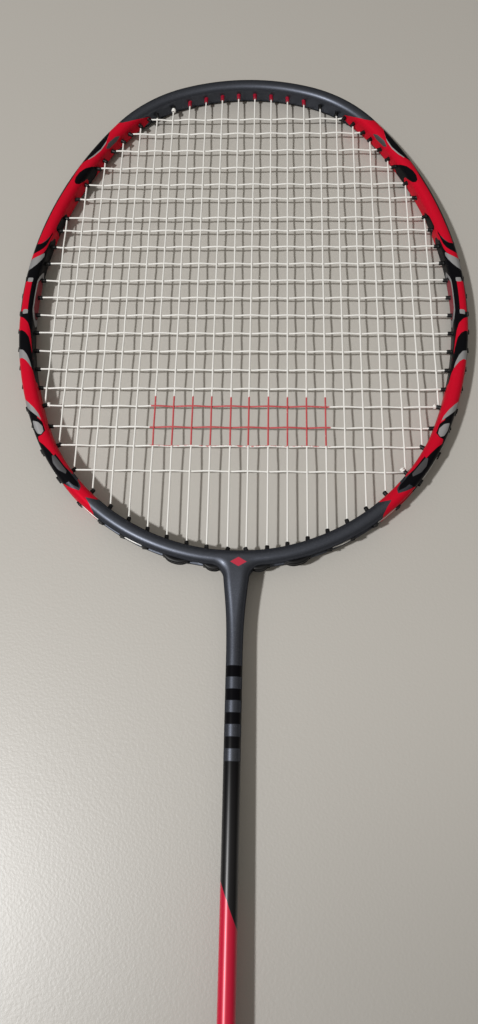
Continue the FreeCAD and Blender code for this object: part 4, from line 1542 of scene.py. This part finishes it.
class HoleTree:
    """A node tree that sets one shape at every hole of a group and dresses it."""

    def __init__(self) -> None:
        """Build the tree with its named inputs."""
        tree = bpy.data.node_groups.new("shape_at_each_hole", "GeometryNodeTree")
        face = tree.interface
        face.new_socket(name="Holes", in_out="INPUT", socket_type="NodeSocketGeometry")
        shape = face.new_socket(name="Shape", in_out="INPUT", socket_type="NodeSocketObject")
        self.shape_key = shape.identifier
        self.finish_key = face.new_socket(name="Finish", in_out="INPUT",
                                          socket_type="NodeSocketMaterial").identifier
        face.new_socket(name="Set", in_out="OUTPUT", socket_type="NodeSocketGeometry")
        nodes, links = tree.nodes, tree.links
        entry, leave = nodes.new("NodeGroupInput"), nodes.new("NodeGroupOutput")
        shape = nodes.new("GeometryNodeObjectInfo")
        turn = nodes.new("GeometryNodeInputNamedAttribute")
        turn.data_type = "FLOAT"
        turn.inputs["Name"].default_value = "turn"
        spin = nodes.new("ShaderNodeCombineXYZ")
        place = nodes.new("GeometryNodeInstanceOnPoints")
        real = nodes.new("GeometryNodeRealizeInstances")
        finish = nodes.new("GeometryNodeSetMaterial")
        links.new(entry.outputs["Holes"], place.inputs["Points"])
        links.new(entry.outputs["Shape"], shape.inputs["Object"])
        links.new(shape.outputs["Geometry"], place.inputs["Instance"])
        links.new(turn.outputs[0], spin.inputs["Z"])
        links.new(spin.outputs[0], place.inputs["Rotation"])
        links.new(place.outputs["Instances"], real.inputs["Geometry"])
        links.new(real.outputs["Geometry"], finish.inputs["Geometry"])
        links.new(entry.outputs["Finish"], finish.inputs["Material"])
        links.new(finish.outputs["Geometry"], leave.inputs["Set"])
        self.tree = tree

    def spread(self, name: str, spots: np.ndarray, turns: Sequence[float], shape: bpy.types.Object,
               material: bpy.types.Material) -> bpy.types.Object:
        """Set the shape at every spot and hand back one plain mesh.

        Args:
            name: the new piece's name.
            spots: where each copy's origin goes, in metres.
            turns: each copy's turn about Z, in radians.
            shape: the shape to repeat.
            material: the finish of every copy.

        Returns:
            The new piece.
        """
        seeds = piece_from(name + "_holes", spots, [], {"turn": np.array(turns)})
        modifier = seeds.modifiers.new("holes", "NODES")
        modifier.node_group = self.tree
        modifier[self.shape_key] = shape
        modifier[self.finish_key] = material
        bpy.context.view_layer.update()
        graph = bpy.context.evaluated_depsgraph_get()
        mesh = bpy.data.meshes.new_from_object(seeds.evaluated_get(graph), depsgraph=graph)
        mesh.name = name
        bpy.data.objects.remove(seeds)
        made = bpy.data.objects.new(name, mesh)
        bpy.context.scene.collection.objects.link(made)
        return made


@dataclass
class Grommets:
    """Sleeves through the hoop with a nub inside and two string guards in the groove."""

    pattern: StringPattern
    barrel: float = 0.95
    bore: float = 0.5
    nub: float = 2.2
    red_nub: float = 2.6
    guard_proud: float = 0.65
    linked_proud: float = 1.9

    def sleeve_shape(self, nub: float, guard: bool) -> bpy.types.Object:
        """One grommet along +Y, its origin on the hoop's inner face.

        Args:
            nub: how far the sleeve stands inside the head.
            guard: whether it has guards in the groove.
        """
        work = bmesh.new()
        groove_floor = 2 * self.pattern.outline.half_width - 1.5
        r, b = self.barrel, self.bore
        profile = [(-nub, b), (-nub, r - 0.28), (-nub + 0.08, r - 0.12), (-nub + 0.28, r - 0.03),
                   (-nub * 0.4, r), (-0.25, r + 0.02), (0.05, r + 0.18), (groove_floor + 0.3, r)]
        self._turn(work, profile, 14)
        if guard:
            base = groove_floor + 0.3
            self._block(work, (0, base, 0), (3.6, 0.6, 3.2), 0.22)
            for side in (1, -1):
                high = 2 * self.pattern.outline.half_width + self.guard_proud
                self._block(work, (0, (base + high) / 2, side * 1.2), (2.4, high - base + 0.3, 0.8), 0.3)
        mesh = bpy.data.meshes.new("grommet_shape")
        work.to_mesh(mesh)
        work.free()
        mesh.transform(Matrix.Scale(MM, 4))
        mesh.polygons.foreach_set("use_smooth", [True] * len(mesh.polygons))
        return bpy.data.objects.new("grommet_shape", mesh)

    @staticmethod
    def _turn(work: bmesh.types.BMesh, profile: Sequence[tuple[float, float]], sides: int) -> None:
        """Add a turned shape about Y, with a dark open bore."""
        rings = []
        for y, radius in profile:
            rings.append([work.verts.new((radius * math.cos(2 * math.pi * k / sides), y,
                                          radius * math.sin(2 * math.pi * k / sides))) for k in range(sides)])
        deep = [work.verts.new((v.co.x, v.co.y + 1.2, v.co.z)) for v in rings[0]]
        rings.insert(0, deep)
        for a, c in zip(rings, rings[1:]):
            for k in range(sides):
                n = (k + 1) % sides
                work.faces.new((a[k], c[k], c[n], a[n]))
        work.faces.new(rings[0])
        work.faces.new(rings[-1][::-1])
        bmesh.ops.recalc_face_normals(work, faces=work.faces)

    @staticmethod
    def _block(work: bmesh.types.BMesh, centre: Sequence[float], size: Sequence[float], bevel: float) -> None:
        """Add a block with rounded edges."""
        made = bmesh.ops.create_cube(work, size=1.0)
        verts = made["verts"]
        bmesh.ops.scale(work, vec=size, verts=verts)
        bmesh.ops.translate(work, vec=centre, verts=verts)
        edges = list({edge for vert in verts for edge in vert.link_edges})
        bmesh.ops.bevel(work, geom=edges, offset=bevel, segments=2, profile=0.6, affect="EDGES",
                        clamp_overlap=True)

    def build(self, tree: HoleTree, black: bpy.types.Material, red: bpy.types.Material) -> None:
        """Make and dress every grommet group and every linked strip."""
        shapes = {"black": self.sleeve_shape(self.nub, True), "red": self.sleeve_shape(self.red_nub, True)}
        for name, holes in self.pattern.groups().items():
            is_red = name == "grommets_top_centre"
            spots = np.array([hole.inner for hole in holes]) * MM
            turns = [math.atan2(-hole.direction[0], hole.direction[1]) for hole in holes]
            material = red if is_red else black
            shape = shapes["red" if is_red else "black"]
            made = tree.spread(name + "_moulded", spots, turns, shape, material)
            dress(made, material, "red_grommet" if is_red else "black_grommet", name)
        for number, pair in enumerate(self.pattern.linked, 1):
            self.strip(tree, f"grommet_strip_right_{number}", pair, black, shapes["black"])
            mirrored = self.pattern.mirrored(pair)
            self.strip(tree, f"grommet_strip_left_{number}", mirrored, black, shapes["black"])

    def strip(self, tree: HoleTree, name: str, pair: tuple[int, int], black: bpy.types.Material,
              shape: bpy.types.Object) -> None:
        """Two bottom grommets joined by a bowed strip that shields the loop between them."""
        holes = [self.pattern.hole_of["main", i, "bottom"] for i in pair]
        spots = np.array([hole.inner for hole in holes]) * MM
        turns = [math.atan2(-hole.direction[0], hole.direction[1]) for hole in holes]
        sleeves = tree.spread(name + "_sleeves", spots, turns, shape, black)
        line = self.pattern.outline
        ends = [self.pattern.on_axis(hole, line.half_width) for hole in holes]
        along = ends[1] - ends[0]
        span = float(np.linalg.norm(along))
        along /= span
        out = holes[0].direction + holes[1].direction
        out -= along * float(out @ along)
        out /= np.linalg.norm(out)
        middle = (ends[0] + ends[1]) / 2
        points, faces = [], []
        count = 25
        for side in (1.0, -1.0):
            base = len(points)
            for k in range(count):
                t = k / (count - 1) * 2 - 1
                bow = max(1 - abs(t) ** 2.6, 0.0)
                reach = t * (span / 2 + 0.6)
                spot = middle + along * reach
                dip = float(line.distance(np.array([spot[0]]), np.array([spot[1]]))[0]) - line.half_width
                top = 0.35 + (self.linked_proud - 0.35) * bow
                for u, z in ((-0.9, 0.7), (-0.9, 1.95), (top - 0.5, 1.95), (top, 1.6), (top, 1.05),
                             (top - 0.5, 0.7)):
                    points.append(spot + out * (u - dip) + np.array([0, 0, side * z]))
            for k in range(count - 1):
                for c in range(6):
                    n = (c + 1) % 6
                    a = base + k * 6
                    faces.append((a + c, a + n, a + 6 + n, a + 6 + c))
            faces.append(tuple(base + c for c in range(6)))
            faces.append(tuple(base + (count - 1) * 6 + c for c in range(6)))
        walls = piece_from(name + "_walls", np.array(points) * MM, faces)
        face_outwards(walls)
        made = joined(name + "_moulded", [sleeves, walls])
        dress(made, black, "black_grommet", name)


def joined(name: str, parts: Sequence[bpy.types.Object]) -> bpy.types.Object:
    """Join meshes into one piece and delete the originals."""
    work = bmesh.new()
    for part in parts:
        work.from_mesh(part.data)
    mesh = bpy.data.meshes.new(name)
    work.to_mesh(mesh)
    work.free()
    mesh.polygons.foreach_set("use_smooth", [True] * len(mesh.polygons))
    for part in parts:
        bpy.data.objects.remove(part)
    made = bpy.data.objects.new(name, mesh)
    bpy.context.scene.collection.objects.link(made)
    return made


# ------------------------------------------------------------------ studio

@dataclass
class Studio:
    """Pale floor, one small key light from the lower left, a weak sky and the camera."""

    eye: tuple[float, float, float] = (12.1, 332.9, 306.8)
    tilt: tuple[float, float, float] = (18.81, 2.03, 0.56)
    focal: float = 26.72
    sensor: float = 36.0
    key_spot: tuple[float, float, float] = (-0.767, -0.022, 1.342)
    key_aim: tuple[float, float, float] = (0.0, 0.45, 0.0)
    key_size: float = 0.09
    key_power: float = 21.5
    sky_high: float = 0.42
    sky_low: float = 0.03

    def build(self) -> None:
        """Set up the floor, lights and camera."""
        self.floor()
        self.lights()
        self.camera()

    def floor(self) -> None:
        """A broad plane that the head's rim and the butt rest on."""
        butt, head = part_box("butt_cap"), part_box("head_frame")
        drop = (head[0].z - butt[0].z) / (head[1].y - butt[1].y)
        reach = 3.0
        corners = []
        for x, y in ((-reach, -reach), (reach, -reach), (reach, reach), (-reach, reach)):
            corners.append((x, y, butt[0].z + (y - butt[0].y) * drop - 0.0001))
        made = piece_from("floor", np.array(corners), [(0, 1, 2, 3)])
        made.data.materials.append(PaleFloor().build())

    def lights(self) -> None:
        """A small key and a sky that darkens towards the horizon."""
        spot = Vector(self.key_spot)
        self.area("key_light", spot, spot - Vector(self.key_aim), self.key_size, self.key_power)
        world = bpy.data.worlds.new("soft_sky")
        world.use_nodes = True
        nodes, links = world.node_tree.nodes, world.node_tree.links
        way, split, fade = (nodes.new(kind) for kind in ("ShaderNodeTexCoord", "ShaderNodeSeparateXYZ",
                                                         "ShaderNodeMapRange"))
        links.new(way.outputs["Generated"], split.inputs[0])
        links.new(split.outputs["Z"], fade.inputs["Value"])
        fade.inputs["From Min"].default_value = 0.05
        fade.inputs["To Min"].default_value = self.sky_low
        fade.inputs["To Max"].default_value = self.sky_high
        links.new(fade.outputs[0], nodes["Background"].inputs["Strength"])
        nodes["Background"].inputs["Color"].default_value = (1.0, 0.94, 0.85, 1.0)
        bpy.context.scene.world = world
        bpy.context.scene.view_settings.view_transform = "Standard"

    @staticmethod
    def area(name: str, spot: Vector, way: Vector, size: float, power: float) -> None:
        """A square area light that looks back along its own direction."""
        lamp = bpy.data.lights.new(name, "AREA")
        lamp.size = size
        lamp.energy = power
        made = bpy.data.objects.new(name, lamp)
        made.rotation_euler = way.to_track_quat("Z", "Y").to_euler()
        made.location = spot
        bpy.context.scene.collection.objects.link(made)

    def camera(self) -> None:
        """The camera above the racket, tipped towards the head."""
        lens = bpy.data.cameras.new("camera")
        lens.lens = self.focal
        lens.sensor_width = self.sensor
        lens.clip_start = 0.01
        lens.clip_end = 20.0
        made = bpy.data.objects.new("camera", lens)
        turn = Matrix.Identity(4)
        for degrees, axis in zip(self.tilt, "XYZ"):
            turn = turn @ Matrix.Rotation(math.radians(degrees), 4, axis)
        made.matrix_world = Matrix.Translation(Vector(self.eye) * MM) @ turn
        bpy.context.scene.collection.objects.link(made)
        bpy.context.scene.camera = made


def write_sizes() -> None:
    """Bring the scene's evaluated state up to date."""
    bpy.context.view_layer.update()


def main() -> None:
    """Build the racket piece by piece."""
    logging.basicConfig(level=logging.INFO, format="%(message)s")
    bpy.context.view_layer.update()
    Studio().build()
    outline = HoopOutline()
    pattern = StringPattern(outline)
    dress(HeadFrame(outline).build(), HoopLacquer().build(), "frame_lacquer", "head_frame")
    dress(Shaft().build(), ShaftLacquer().build(), "shaft_lacquer", "shaft")
    nylon = StringNylon().build()
    bed = StringBed(pattern)
    for made, node in zip(bed.build(), ("string_mains", "string_crosses")):
        dress(made, nylon, "string_nylon", node)
    dress(bed.knots(), nylon, "string_nylon", "string_knots")
    black = MouldedNylon("black_nylon", (0.005, 0.005, 0.0055), (0.022, 0.022, 0.024)).build()
    red = MouldedNylon("red_nylon", (0.30, 0.008, 0.026), (0.42, 0.02, 0.045), roughness=0.32).build()
    Grommets(pattern).build(HoleTree(), black, red)
    Handle().build()
    for node, finish in (("handle_core", Wood()), ("head_foam_core", Foam()),
                         ("t_joint_insert", FibreResin()),
                         ("grip_staple", DrawnWire())):
        repaint(node, finish.build())
    write_sizes()


if __name__ == "__main__":
    main()
